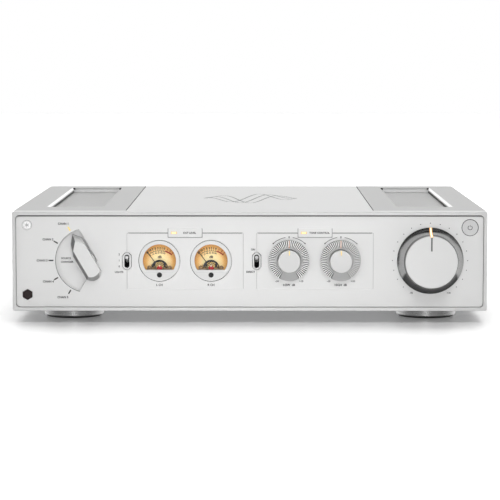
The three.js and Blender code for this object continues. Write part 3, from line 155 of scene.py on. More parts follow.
class Shape:
    """A mesh in the making, in millimetres in the row frame."""

    def __init__(self, bm: bmesh.types.BMesh | None = None) -> None:
        """Starts from a bmesh, or an empty one."""
        self.bm = bm or bmesh.new()

    @classmethod
    def turned(cls, profile: Sequence[Point], steps: int = TURN_STEPS) -> "Shape":
        """Spins a profile about the depth axis.

        Args:
            profile: radius and depth pairs, from axis to axis or back to the first pair.
            steps: facets in the full turn.

        Returns:
            The closed turned body.
        """
        shape = cls()
        bm = shape.bm
        verts = [bm.verts.new((radius, depth, 0)) for radius, depth in profile]
        edges = [bm.edges.new(pair) for pair in zip(verts, verts[1:])]
        bmesh.ops.spin(bm, geom=verts + edges, cent=(0, 0, 0), axis=(0, 1, 0), dvec=(0, 0, 0),
                       angle=FULL_TURN, steps=steps, use_merge=True)
        return shape.weld()

    @classmethod
    def slab(cls, outline: Sequence[Point], front: float, back: float) -> "Shape":
        """Makes a flat outline in X and Z solid between two depths.

        Args:
            outline: corners in order.
            front: depth of the face towards the viewer.
            back: depth of the far face.

        Returns:
            The closed slab.
        """
        shape = cls()
        bm = shape.bm
        face = bm.faces.new([bm.verts.new((x, front, z)) for x, z in outline])
        made = bmesh.ops.extrude_face_region(bm, geom=[face])["geom"]
        moved = [item for item in made if isinstance(item, bmesh.types.BMVert)]
        bmesh.ops.translate(bm, verts=moved, vec=(0, back - front, 0))
        return shape.weld()

    @classmethod
    def block(cls, low: Triple, high: Triple) -> "Shape":
        """Makes a box between two corners.

        Args:
            low: lowest corner.
            high: highest corner.

        Returns:
            The box.
        """
        shape = cls()
        low, high = Vector(low), Vector(high)
        bmesh.ops.create_cube(shape.bm, size=1)
        bmesh.ops.scale(shape.bm, vec=high - low, verts=shape.bm.verts)
        return shape.move(*((low + high) / 2))

    @classmethod
    def rod(cls, radius: float, front: float, back: float,
            steps: int = SMALL_TURN_STEPS) -> "Shape":
        """Makes a round rod between two depths."""
        return cls.turned([(0, front), (radius, front), (radius, back), (0, back)], steps)

    @classmethod
    def band(cls, inner: float, outer: float, start: float, end: float, front: float,
             back: float) -> "Shape":
        """Makes part of a flat ring about the depth axis.

        Args:
            inner: inner radius.
            outer: outer radius.
            start: first angle in degrees, clockwise from the top as seen from the front.
            end: last angle.
            front: depth of the near face.
            back: depth of the far face.

        Returns:
            The closed band.
        """
        shape = cls()
        bm = shape.bm
        corners = [(0, front, inner), (0, front, outer), (0, back, outer), (0, back, inner)]
        face = bm.faces.new([bm.verts.new(corner) for corner in corners])
        sweep = math.radians(end - start)
        steps = max(2, round(abs(sweep) / FULL_TURN * TURN_STEPS))
        bmesh.ops.rotate(bm, verts=bm.verts, matrix=Matrix.Rotation(math.radians(start), 3, "Y"))
        bmesh.ops.spin(bm, geom=[face], cent=(0, 0, 0), axis=(0, 1, 0), dvec=(0, 0, 0),
                       angle=sweep, steps=steps, use_merge=False)
        return shape.weld()

    @classmethod
    def stroke(cls, points: Sequence[Point], width: float) -> "Shape":
        """Makes a flat inked line through points, lying in X and Z at depth zero.

        Args:
            points: places along the line.
            width: width of the line.

        Returns:
            The line, facing the front.
        """
        curve = bpy.data.curves.new("stroke", "CURVE")
        curve.dimensions = "3D"
        spline = curve.splines.new("POLY")
        spline.points.add(len(points) - 1)
        for place, (x, z) in zip(spline.points, points):
            place.co = (x, 0, z, 1)
        curve.bevel_depth = width / 2
        curve.bevel_resolution = 0
        curve.use_fill_caps = True
        shape = cls.from_curve(curve)
        bmesh.ops.scale(shape.bm, vec=(1, INK_DEPTH / width, 1), verts=shape.bm.verts)
        return shape.weld()

    @classmethod
    def lettering(cls, text: str, height: float, facing: Facing = Facing.FRONT,
                  weight: float = LIGHT_SHARE) -> "Shape":
        """Makes flat bold capitals or numerals, centred on the origin.

        Args:
            text: what is written.
            height: height of a capital.
            facing: the way that the letters look.
            weight: how far each outline grows, as a share of the height.

        Returns:
            The raised letters.
        """
        curve = bpy.data.curves.new("lettering", "FONT")
        curve.body = text
        curve.size = height / CAPITAL_SHARE
        curve.align_x = "CENTER"
        curve.extrude = INK_DEPTH / 2
        curve.offset = weight * height
        curve.resolution_u = 3
        shape = cls.from_curve(curve)
        shape.move(0, -height / 2, 0)
        return shape.turn(QUARTER, "X").turn(facing.value, "Z")

    @classmethod
    def from_curve(cls, curve: bpy.types.Curve) -> "Shape":
        """Turns a curve or text into a mesh and removes the curve.

        Args:
            curve: curve data.

        Returns:
            Its geometry.
        """
        holder = in_scene("curve_holder", curve)
        shape = cls()._take(holder)
        bpy.data.objects.remove(holder)
        bpy.data.curves.remove(curve)
        return shape

    @classmethod
    def of_node(cls, node: str) -> "Shape":
        """Copies a CAD node's mesh, merged and with flat faces made whole.

        Args:
            node: name of the CAD node.

        Returns:
            The copy.
        """
        shape = cls()
        bm = shape.bm
        bm.from_mesh(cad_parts[node].data)
        bmesh.ops.scale(bm, vec=(1 / MM,) * 3, verts=bm.verts)
        bmesh.ops.remove_doubles(bm, verts=bm.verts, dist=MERGE_DISTANCE)
        bmesh.ops.dissolve_limit(bm, angle_limit=FLAT_ANGLE, verts=bm.verts, edges=bm.edges)
        return shape

    def weld(self) -> "Shape":
        """Merges doubles and turns the faces outwards."""
        bmesh.ops.remove_doubles(self.bm, verts=self.bm.verts, dist=MERGE_DISTANCE)
        bmesh.ops.recalc_face_normals(self.bm, faces=self.bm.faces)
        return self

    def move(self, x: float, y: float, z: float) -> "Shape":
        """Shifts the shape."""
        bmesh.ops.translate(self.bm, verts=self.bm.verts, vec=(x, y, z))
        return self

    def turn(self, angle: float, axis: str, about: Sequence[float] = (0, 0, 0)) -> "Shape":
        """Turns the shape.

        Args:
            angle: degrees by the right-hand rule.
            axis: X, Y or Z.
            about: a point on the axis.

        Returns:
            The shape itself.
        """
        matrix = Matrix.Rotation(math.radians(angle), 3, axis)
        bmesh.ops.rotate(self.bm, verts=self.bm.verts, cent=about, matrix=matrix)
        return self

    def bevel(self, width: float, segments: int = 2, angle: float = SHARP_ANGLE) -> "Shape":
        """Breaks the sharp edges.

        Args:
            width: width of the broken edge.
            segments: facets across it.
            angle: least angle between two faces that counts as sharp.

        Returns:
            The shape itself.
        """
        return self.break_edges([edge for edge in self.bm.edges
                                 if edge.is_manifold and edge.calc_face_angle(0) > angle],
                                width, segments)

    def break_edges(self, edges: Sequence[Edge], width: float, segments: int) -> "Shape":
        """Breaks chosen edges to a width, with facets across it."""
        bmesh.ops.bevel(self.bm, geom=edges, offset=width, offset_type="OFFSET", segments=segments,
                        profile=ROUND_PROFILE, affect="EDGES", clamp_overlap=True, material=-1)
        return self

    def add(self, *others: "Shape") -> "Shape":
        """Takes other shapes in, which are used up."""
        for other in others:
            carried = bpy.data.meshes.new("carried")
            other.bm.to_mesh(carried)
            other.bm.free()
            self.bm.from_mesh(carried)
            bpy.data.meshes.remove(carried)
        return self

    def cut(self, tool: "Shape") -> "Shape":
        """Cuts another shape out of this one.

        Args:
            tool: the shape to take away, which is used up.

        Returns:
            The shape itself.
        """
        blank, cutter = self._loose("blank"), tool._loose("cutter")
        step = blank.modifiers.new("cut", "BOOLEAN")
        step.operation = "DIFFERENCE"
        step.solver = "EXACT"
        step.object = cutter
        self.bm = bmesh.new()
        self._take(blank)
        for holder in (blank, cutter):
            bpy.data.objects.remove(holder)
        return self

    def _take(self, holder: bpy.types.Object) -> "Shape":
        """Takes in what an object looks like with its modifiers."""
        graph = bpy.context.evaluated_depsgraph_get()
        mesh = bpy.data.meshes.new_from_object(holder.evaluated_get(graph))
        self.bm.from_mesh(mesh)
        bpy.data.meshes.remove(mesh)
        return self

    def _loose(self, name: str) -> bpy.types.Object:
        """Puts the geometry on a holder object for a modifier to read."""
        mesh = bpy.data.meshes.new(name)
        self.bm.to_mesh(mesh)
        self.bm.free()
        return in_scene(name, mesh)

    def paint(self, index: int, chosen: Callable[[Face], bool] | None = None) -> "Shape":
        """Gives faces another of the piece's materials.

        Args:
            index: place of the material in the piece's list.
            chosen: says which faces take it, all of them when left out.

        Returns:
            The shape itself.
        """
        self.bm.normal_update()
        for face in self.bm.faces:
            if chosen is None or chosen(face):
                face.material_index = index
        return self

    def finish(self, name: str, finishes: Sequence["Finish"], slot: str, body: str = CHASSIS,
               replaced: Sequence[str] = (), smooth: bool = True) -> bpy.types.Object:
        """Makes the shape an object in metres, dressed and riding on its body.

        Args:
            name: name of the piece.
            finishes: its materials, in order.
            slot: the record's material slot; not used.
            body: the CAD body that it moves with.
            replaced: CAD nodes that it stands for.
            smooth: whether gentle angles are shaded as curves.

        Returns:
            The finished object.
        """
        bmesh.ops.scale(self.bm, vec=(MM,) * 3, verts=self.bm.verts)
        mesh = bpy.data.meshes.new(name)
        self.bm.to_mesh(mesh)
        self.bm.free()
        if smooth:
            mesh.shade_smooth()
            mesh.set_sharp_from_angle(angle=SMOOTH_ANGLE)
        piece = in_scene(name, mesh)
        for finish in finishes:
            mesh.materials.append(finish.material())
        if smooth:
            weighting = piece.modifiers.new("flat_faces", "WEIGHTED_NORMAL")
            weighting.keep_sharp = True
        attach(piece, body)
        if replaced:
            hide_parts(*replaced)
        LOG.info("made %s with %d faces", name, len(mesh.polygons))
        return piece


def dress(node: str, finish: "Finish") -> None:
    """Gives a CAD node that keeps its shape a better material."""
    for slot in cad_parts[node].material_slots:
        slot.material = finish.material()


class NodeSheet:
    """A node tree being laid out, with short ways to add and feed nodes."""

    def __init__(self, tree: bpy.types.NodeTree) -> None:
        """Takes over a tree to add to."""
        self.tree = tree

    @property
    def shader(self) -> Node:
        """The Principled shader of a material's tree."""
        return self.tree.nodes["Principled BSDF"]

    def add(self, kind: str, inputs: dict[str | int, object] | None = None,
            **values: object) -> Node:
        """Adds a node, sets its values and feeds it.

        Args:
            kind: Blender's name of the node type.
            inputs: what its inputs take.
            **values: properties of the node.

        Returns:
            The node.
        """
        node = self.tree.nodes.new(kind)
        for key, value in values.items():
            setattr(node, key, value)
        self.feed(node, inputs or {})
        return node

    def feed(self, node: Node, inputs: dict[str | int, object]) -> None:
        """Links or sets the inputs of a node.

        Args:
            node: the node to feed.
            inputs: a socket to link or a value to set, by the input's name or number.
        """
        for key, value in inputs.items():
            if isinstance(value, Socket):
                self.tree.links.new(value, node.inputs[key])
            else:
                node.inputs[key].default_value = value

    def sum(self, operation: str, *terms: object) -> Socket:
        """Works out a sum of sockets and numbers, taken in order."""
        return self.add("ShaderNodeMath", dict(enumerate(terms)), operation=operation).outputs[0]

    def scaled(self, vector: object, scale: Socket) -> Socket:
        """Multiplies a colour or vector by a number."""
        inputs = {0: vector, "Scale": scale}
        return self.add("ShaderNodeVectorMath", inputs, operation="SCALE").outputs[0]

    def noise(self, place: Socket, scale: object, detail: int = 2) -> Socket:
        """Adds soft noise from 0 to 1, with finer layers as the detail grows."""
        inputs = {"Vector": place, "Scale": scale, "Detail": detail}
        return self.add("ShaderNodeTexNoise", inputs).outputs["Fac"]

    def spread(self, value: Socket, low: float = 0, high: float = 1, start: float = 0,
               end: float = 1) -> Socket:
        """Maps the values from low to high to those from start to end."""
        inputs = {"Value": value, "From Min": low, "From Max": high, "To Min": start, "To Max": end}
        return self.add("ShaderNodeMapRange", inputs).outputs["Result"]

    def distance(self, place: Socket, centre: Triple, reach: Triple) -> Socket:
        """Distance from a point, as a share of a reach that each axis has.

        Args:
            place: where it is measured.
            centre: the point, in metres.
            reach: distance along each axis that counts as one.

        Returns:
            The distance.
        """
        inputs = {"Vector": place, "Location": centre, "Scale": reach}
        mapping = self.add("ShaderNodeMapping", inputs, vector_type="TEXTURE")
        inputs = {0: mapping.outputs["Vector"]}
        return self.add("ShaderNodeVectorMath", inputs, operation="LENGTH").outputs["Value"]

    def ramp(self, share: Socket, stops: Sequence[tuple[float, Colour]]) -> Socket:
        """Adds a colour ramp.

        Args:
            share: what the colour follows.
            stops: place and colour of each stop.

        Returns:
            The colour.
        """
        node = self.add("ShaderNodeValToRGB", {"Fac": share})
        elements = node.color_ramp.elements
        while len(elements) < len(stops):
            elements.new(1 / 2)
        for element, (place, colour) in zip(elements, stops):
            element.position = place
            element.color = (*colour, 1)
        return node.outputs["Color"]


FLOAT, COLOUR, VECTOR = "NodeSocketFloat", "NodeSocketColor", "NodeSocketVector"
Sockets = Sequence[tuple[str, str]]
GRAIN_DETAIL = 3
LINE_DETAIL = 4


def shared_group(name: str, inputs: Sockets, outputs: Sockets,
                 lay_out: Callable[[NodeSheet, Node], dict]) -> bpy.types.NodeTree:
    """Finds a shader node group by name, or builds it once.

    Args:
        name: name of the group.
        inputs: socket names and kinds.
        outputs: socket names and kinds.
        lay_out: adds the nodes behind the group's input node, and says what each output takes.

    Returns:
        The group.
    """
    if name in bpy.data.node_groups:
        return bpy.data.node_groups[name]
    group = bpy.data.node_groups.new(name, "ShaderNodeTree")
    for way, sockets in (("INPUT", inputs), ("OUTPUT", outputs)):
        for socket, kind in sockets:
            group.interface.new_socket(name=socket, in_out=way, socket_type=kind)
    sheet = NodeSheet(group)
    source, result = sheet.add("NodeGroupInput"), sheet.add("NodeGroupOutput")
    sheet.feed(result, lay_out(sheet, source))
    return group


def fine_grain_group() -> bpy.types.NodeTree:
    """Blasted or moulded grain: a fine pitted height with a slow drift of tone and gloss.

    Returns:
        The group, built once.
    """
    def lay_out(sheet: NodeSheet, source: Node) -> dict:
        given = source.outputs
        grain = sheet.noise(given["Place"], given["Grain Scale"], GRAIN_DETAIL)
        drift = sheet.noise(given["Place"], given["Drift Scale"])
        centred = sheet.sum("SUBTRACT", sheet.sum("ADD", grain, drift), 1)
        tone = sheet.sum("MULTIPLY_ADD", centred, given["Tone Change"], 1)
        rough = sheet.sum("MULTIPLY_ADD", centred, given["Roughness Change"], given["Roughness"])
        return {"Colour": sheet.scaled(given["Colour"], tone), "Roughness": rough, "Height": grain}

    return shared_group(
        "fine_grain",
        [("Place", VECTOR), ("Colour", COLOUR), ("Grain Scale", FLOAT), ("Drift Scale", FLOAT),
         ("Tone Change", FLOAT), ("Roughness", FLOAT), ("Roughness Change", FLOAT)],
        [("Colour", COLOUR), ("Roughness", FLOAT), ("Height", FLOAT)], lay_out)


def brushed_group() -> bpy.types.NodeTree:
    """Fine parallel brush lines, long in one direction.

    Returns:
        The group, built once.
    """
    def lay_out(sheet: NodeSheet, source: Node) -> dict:
        given = source.outputs
        stretched = sheet.add("ShaderNodeVectorMath", {0: given["Place"], 1: given["Stretch"]},
                              operation="MULTIPLY")
        lines = sheet.noise(stretched.outputs[0], 1, LINE_DETAIL)
        rough = sheet.sum("MULTIPLY_ADD", lines, given["Roughness Change"], given["Roughness"])
        return {"Roughness": rough, "Height": lines}

    return shared_group(
        "brushed_lines",
        [("Place", VECTOR), ("Stretch", VECTOR), ("Roughness", FLOAT), ("Roughness Change", FLOAT)],
        [("Roughness", FLOAT), ("Height", FLOAT)], lay_out)


class Finish:
    """A surface finish that makes its material once."""

    name: str

    def material(self) -> bpy.types.Material:
        """The material of this finish.

        Returns:
            The one made before, or a new one.
        """
        title = f"{self.name}_finish"
        found = bpy.data.materials.get(title)
        if found is not None:
            return found
        made = bpy.data.materials.new(title)
        made.use_nodes = True
        self.lay_out(NodeSheet(made.node_tree))
        return made

    def lay_out(self, sheet: NodeSheet) -> None:
        """Adds the finish's own nodes to its tree and feeds the shader."""
        raise NotImplementedError

    @staticmethod
    def place(sheet: NodeSheet) -> Socket:
        """Adds the place of a surface point, which is in the row frame."""
        return sheet.add("ShaderNodeTexCoord").outputs["Object"]

    @staticmethod
    def relief(sheet: NodeSheet, height: Socket, depth: float) -> None:
        """Feeds a height, with its depth in metres, to the shader's normal."""
        bump = sheet.add("ShaderNodeBump", {"Height": height, "Distance": depth})
        sheet.feed(sheet.shader, {"Normal": bump.outputs["Normal"]})


@dataclass(frozen=True)
class Grained(Finish):
    """Blasted metal, moulded plastic, rubber or card with a fine grain."""

    name: str
    colour: Colour
    roughness: float
    metallic: float = 0.0
    grain_scale: float = 2400.0
    drift_scale: float = 14.0
    tone_change: float = 0.03
    roughness_change: float = 0.08
    depth: float = 0.00001
    coat: float = 0.0
    specular: float = 0.5

    def lay_out(self, sheet: NodeSheet) -> None:
        """Adds the grain and sets the shader.

        Args:
            sheet: the material's tree.
        """
        grain = sheet.add("ShaderNodeGroup", {
            "Place": self.place(sheet),
            "Colour": (*self.colour, 1),
            "Grain Scale": self.grain_scale,
            "Drift Scale": self.drift_scale,
            "Tone Change": self.tone_change,
            "Roughness": self.roughness,
            "Roughness Change": self.roughness_change,
        }, node_tree=fine_grain_group()).outputs
        sheet.feed(sheet.shader, {
            "Base Color": grain["Colour"],
            "Roughness": grain["Roughness"],
            "Metallic": self.metallic,
            "Coat Weight": self.coat,
            "Specular IOR Level": self.specular,
        })
        self.relief(sheet, grain["Height"], self.depth)


class Lined(Finish):
    """A metal with brush lines in its gloss."""

    roughness: float
    roughness_change: float
    stretch: Triple

    def lines(self, sheet: NodeSheet) -> Socket:
        """Makes the shader a metal with brush lines.

        Args:
            sheet: the material's tree.

        Returns:
            The height of the lines.
        """
        lines = sheet.add("ShaderNodeGroup", {
            "Place": self.place(sheet),
            "Stretch": self.stretch,
            "Roughness": self.roughness,
            "Roughness Change": self.roughness_change,
        }, node_tree=brushed_group()).outputs
        sheet.feed(sheet.shader, {"Roughness": lines["Roughness"], "Metallic": 1})
        return lines["Height"]


@dataclass(frozen=True)
class Brushed(Lined):
    """Metal with parallel brush lines or turning marks."""

    name: str
    colour: Colour
    roughness: float
    stretch: Triple
    roughness_change: float = 0.12
    depth: float = 0.000006

    def lay_out(self, sheet: NodeSheet) -> None:
        """Adds the brush lines and their height, and sets the colour."""
        sheet.feed(sheet.shader, {"Base Color": (*self.colour, 1)})
        self.relief(sheet, self.lines(sheet), self.depth)


@dataclass(frozen=True)
class ReflectionPaintedPolish(Lined):
    """Polished metal with painted reflection and shade: its colour is darker where it faces the
    ground or up and forwards.
    """

    name: str
    colour: Colour
    roughness: float
    low_tone: float
    high_tone: float
    low_turn: float = -0.39
    high_turn: float = 0.72
    softness: float = 0.03
    rise_share: float = 0.25
    stretch: Triple = (60, 4000, 60)
    roughness_change: float = 0.06

    def lay_out(self, sheet: NodeSheet) -> None:
        """Paints the two darker bands of reflection and shade into the colour and joins them to the
        shader.

        Args:
            sheet: the material's tree.
        """
        normal = sheet.add("ShaderNodeNewGeometry").outputs["Normal"]
        parts = sheet.add("ShaderNodeSeparateXYZ", {0: normal}).outputs
        forward = sheet.sum("MULTIPLY", parts["Y"], -1)
        facing = sheet.sum("MULTIPLY_ADD", parts["Z"], self.rise_share, forward)
        low = self._step(sheet, parts["Z"], self.low_turn, self.low_tone, 1)
        high = self._step(sheet, facing, self.high_turn, 1, self.high_tone)
        tone = sheet.sum("MULTIPLY", low, high)
        sheet.feed(sheet.shader, {"Base Color": sheet.scaled(self.colour, tone)})
        self.lines(sheet)

    def _step(self, sheet: NodeSheet, value: Socket, turn: float, before: float,
              after: float) -> Socket:
        """Adds a quick change of tone where a value passes a turn."""
        return sheet.spread(value, turn - self.softness, turn + self.softness, before, after)


class Glowing(Finish):
    """A surface that shows a colour and gives it off."""

    strength: float
    roughness: float

    def glow(self, sheet: NodeSheet, colour: Socket) -> None:
        """Makes the shader show a colour and give it off."""
        sheet.feed(sheet.shader, {"Base Color": colour, "Emission Color": colour,
                                  "Emission Strength": self.strength,
                                  "Roughness": self.roughness})


@dataclass(frozen=True)
class Lit(Glowing):
    """A lamp window that glows evenly, with a soft change across it; it also paints the glow of the
    pointers' light on the tone rings.
    """

    name: str
    colour: Colour
    strength: float
    roughness: float = 0.4
    cloud_scale: float = 160.0
    dim_share: float = 0.94

    def lay_out(self, sheet: NodeSheet) -> None:
        """Adds the glow.

        Args:
            sheet: the material's tree.
        """
        dim = tuple(channel * self.dim_share for channel in self.colour)
        cloud = sheet.noise(self.place(sheet), self.cloud_scale)
        self.glow(sheet, sheet.ramp(cloud, [(0, dim), (1, self.colour)]))


@dataclass(frozen=True)
class DialCard(Glowing):
    """Printed card lit from behind, pale in the middle and amber towards the top."""

    name: str
    centre: Triple
    radius: float
    strength: float = 0.2
    roughness: float = 0.7
    glow_drop: float = 3.4
    tones: Sequence[tuple[float, tuple[int, int, int]]] = (
        (0.0, (246, 230, 184)), (0.42, (246, 224, 168)), (0.64, (243, 206, 142)),
        (0.8, (232, 176, 96)), (1.0, (218, 148, 76)))

    def lay_out(self, sheet: NodeSheet) -> None:
        """Adds the glow that falls off from the lamp.

        Args:
            sheet: the material's tree.
        """
        x, y, z = self.centre
        lamp = (x * MM, y * MM, (z - self.glow_drop) * MM)
        reach = (self.radius * MM, 1, (self.radius + self.glow_drop) * MM)
        distance = sheet.distance(self.place(sheet), lamp, reach)
        stops = [(share, linear(tone)) for share, tone in self.tones]
        self.glow(sheet, sheet.ramp(distance, stops))


@dataclass(frozen=True)
class GlowBar(Glowing):
    """Lit bar, near white along its middle and orange at its two sides."""

    name: str
    colour: Colour
    side_colour: Colour
    middle: float
    half_width: float
    strength: float
    roughness: float = 0.4
    side_shares: Sequence[float] = (0, 0.16, 0.84, 1)
    core_shares: Sequence[float] = (0.36, 0.64)

    def lay_out(self, sheet: NodeSheet) -> None:
        """Makes the glow change with the distance from the bar's middle.

        Args:
            sheet: the material's tree.
        """
        parts = sheet.add("ShaderNodeSeparateXYZ", {0: self.place(sheet)})
        across = sheet.spread(parts.outputs["X"], (self.middle - self.half_width) * MM,
                              (self.middle + self.half_width) * MM)
        sides = [(share, self.side_colour) for share in self.side_shares]
        core = [(share, self.colour) for share in self.core_shares]
        self.glow(sheet, sheet.ramp(across, sorted(sides + core)))


@dataclass(frozen=True)
class ClearGlass(Finish):
    """Thin clear pane that shows only its gloss."""

    name: str
    opacity: float = 0.02
    tint: Colour = (0.96, 0.97, 0.97)
    specular: float = 0.2
    smear_scale: float = 60.0
    least_roughness: float = 0.02
    most_roughness: float = 0.07

    def lay_out(self, sheet: NodeSheet) -> None:
        """Makes the pane nearly see-through, with faint smears in its gloss.

        Args:
            sheet: the material's tree.
        """
        smear = sheet.noise(self.place(sheet), self.smear_scale)
        gloss = sheet.spread(smear, start=self.least_roughness, end=self.most_roughness)
        sheet.feed(sheet.shader, {"Roughness": gloss, "Base Color": (*self.tint, 1),
                                  "Alpha": self.opacity, "Specular IOR Level": self.specular})


@dataclass(frozen=True)
class LightTable(Finish):
    """Pale floor that glows more strongly away from the object, so that it ends in white."""

    name: str
    half_width: float = 212.0
    half_depth: float = 380.0
    far: float = 2.4
    near_glow: float = 0.12
    far_glow: float = 0.55
    tone: float = 0.84
    roughness: float = 0.3

    def lay_out(self, sheet: NodeSheet) -> None:
        """Makes the glow grow with the distance from the object.

        Args:
            sheet: the material's tree.
        """
        reach = (self.half_width * MM, self.half_depth * MM, 1)
        distance = sheet.distance(self.place(sheet), (0, 0, 0), reach)
        glow = sheet.spread(distance, 1, self.far, self.near_glow, self.far_glow)
        sheet.feed(sheet.shader, {"Emission Strength": glow, "Emission Color": WHITE,
                                  "Base Color": (*grey(self.tone), 1),
                                  "Roughness": self.roughness})


LIT_FLOOR = LightTable("pale_floor")
CASE_METAL = Grained("case_aluminium", (0.84, 0.84, 0.835), 0.42, metallic=0.6)
PANEL_METAL = Grained("panel_aluminium", (0.83, 0.83, 0.825), 0.42, metallic=0.4)
KNOB_METAL = Grained("knob_aluminium", (0.8, 0.8, 0.795), 0.4, metallic=0.5)
BEZEL_METAL = Grained("bezel_aluminium", (0.69, 0.69, 0.685), 0.34, metallic=0.4)
CAP_METAL = Grained("cap_aluminium", (0.74, 0.74, 0.735), 0.42, metallic=0.45)
BUTTON_METAL = Grained("button_aluminium", grey(0.7), 0.42, metallic=0.4)
RING_METAL = Grained("fin_aluminium", (0.95, 0.95, 0.945), 0.4, metallic=0.2)
# A darker copy of the ring's metal: painted shade on the ring's base round the knob and under it.
SHADED_RING_BASE = Grained("ring_base", grey(0.4), 0.35, metallic=0.7)
# A darker copy of the case aluminium: painted shade on the casings.
SHADED_CASING_METAL = Grained("shaded_casing_aluminium", (0.61, 0.61, 0.605), 0.42, metallic=0.6)
LEVER_METAL = Grained("lever_metal", grey(0.95), 0.2, metallic=0.4, depth=0.000001)
# Grey painted shade in the panel's gap and painted shadow round the tabs.
GAP_SHADE_GREY = Grained("painted_gap_shade", grey(0.3), 0.5, metallic=0.3)
BADGE_METAL = Grained("badge_metal", grey(0.97), 0.4, metallic=0.2)
# Grey painted shade on edges that face sideways.
SIDE_SHADE_GREY = Grained("painted_side_shade", grey(0.5), 0.4, metallic=0.5)
# Dark grey for painted shade and shadow lines, and for the lines across the badge.
PAINTED_SHADE_AND_BADGE_LINES = Grained("shaded_edge", grey(0.14), 0.4, metallic=0.4)
# Near-white painted highlight on edges that face the light.
PAINTED_HIGHLIGHT = Grained("painted_highlight", grey(0.97), 0.4, metallic=0.2)
# Darker copies of the knob metal: painted shade on the handle's left flank and its tail.
FLANK_SHADE_METAL = Grained("handle_flank_shade", grey(0.24), 0.3, metallic=0.8)
TAIL_SHADE_METAL = Grained("handle_tail_shade", grey(0.46), 0.35, metallic=0.6)
# Near-black painted shade for seams, gaps, hollows and the faces between and behind parts.
PAINTED_DEEP_SHADE = Grained("painted_deep_shade", grey(0.05), 0.6)
# Grey painted shade in the knob's pointer groove and in a thin ring beside its face.
POINTER_GROOVE_SHADE = Grained("pointer_groove_shade", grey(0.2), 0.5, metallic=0.3)
SKIRT_PAINTED_REFLECTION = ReflectionPaintedPolish("skirt_painted_reflection", grey(0.62), 0.14, low_tone=0.17, high_tone=0.42)
CHROME = Grained("chrome", (0.93, 0.935, 0.94), 0.08, metallic=0.85, depth=0.000001,
                 roughness_change=0.02)
FOOT_METAL = Brushed("turned_foot", grey(0.5), 0.2, (60, 60, 4000), depth=0.000002)
MESH_METAL = Grained("mesh_wire", (0.78, 0.78, 0.775), 0.4, metallic=0.5)
SHEET_STEEL = Brushed("plated_steel", (0.6, 0.61, 0.62), 0.34, (30, 3000, 3000))
DARK_METAL = Grained("dark_heatsink", (0.16, 0.16, 0.165), 0.5, metallic=0.7)
BLACK_PLASTIC = Grained("black_plastic", (0.018, 0.018, 0.019), 0.45, grain_scale=1500)
BLACK_PAINT = Grained("black_paint", grey(0.012), 0.55)
# Near black: painted shade in the vent notches, corner holes and switch slots, and the real black
# of the meter movement's arch.
SHADE_AND_PART_BLACK = Grained("painted_shade_and_black_part", grey(0.008), 0.7)
RUBBER = Grained("foot_rubber", grey(0.02), 0.8, grain_scale=900, depth=0.00003)
DARK_WINDOW = Grained("dark_window", linear((44, 34, 34)), 0.25, depth=0.0000005, specular=0.3)
INK_BLACK = Grained("ink_black", grey(0.02), 0.6)
INK_GREY = Grained("ink_grey", grey(0.03), 0.6)
INK_RED = Grained("ink_red", linear((190, 30, 24)), 0.6)
INK_WHITE = Grained("ink_white", (0.85, 0.85, 0.84), 0.5)
ENGRAVED = Grained("engraved_line", grey(0.2), 0.45, metallic=0.6)
RED_JEWEL = Grained("red_jewel", linear((196, 14, 20)), 0.25, depth=0.0000005)
BRASS = Grained("brass", (0.72, 0.5, 0.19), 0.28, metallic=1.0)
DARK_BRASS = Grained("dark_brass", (0.24, 0.15, 0.08), 0.35, metallic=0.9)
FAINT_LINE = Grained("faint_line", grey(0.6), 0.5)
GOLD_PLATE = Grained("gold_plate", (0.86, 0.66, 0.28), 0.18, metallic=1.0, depth=0.000002)
COPPER_TAPE = Grained("winding_tape", (0.72, 0.52, 0.16), 0.4, grain_scale=700)
BOARD_GREEN = Grained("board_green", (0.02, 0.12, 0.05), 0.35, coat=0.3)
RED_PLASTIC = Grained("red_plastic", (0.42, 0.012, 0.012), 0.25, coat=0.3)
WARM_LAMP = Lit("warm_lamp", linear((240, 214, 116)), 0.3)
POINTER_LAMP = Lit("pointer_lamp", linear((240, 206, 110)), 0.35)
# Painted glow of the tone pointers' light on their rings.
POINTER_GLOW_PAINT = Lit("painted_pointer_glow", linear((190, 118, 60)), 0.12)
TAB_LAMP_EDGE = Lit("tab_lamp_edge", linear((224, 158, 66)), 0.25)
TAB_LAMP = Lit("tab_lamp", linear((250, 236, 176)), 0.35)
METER_GLASS = ClearGlass("meter_glass")


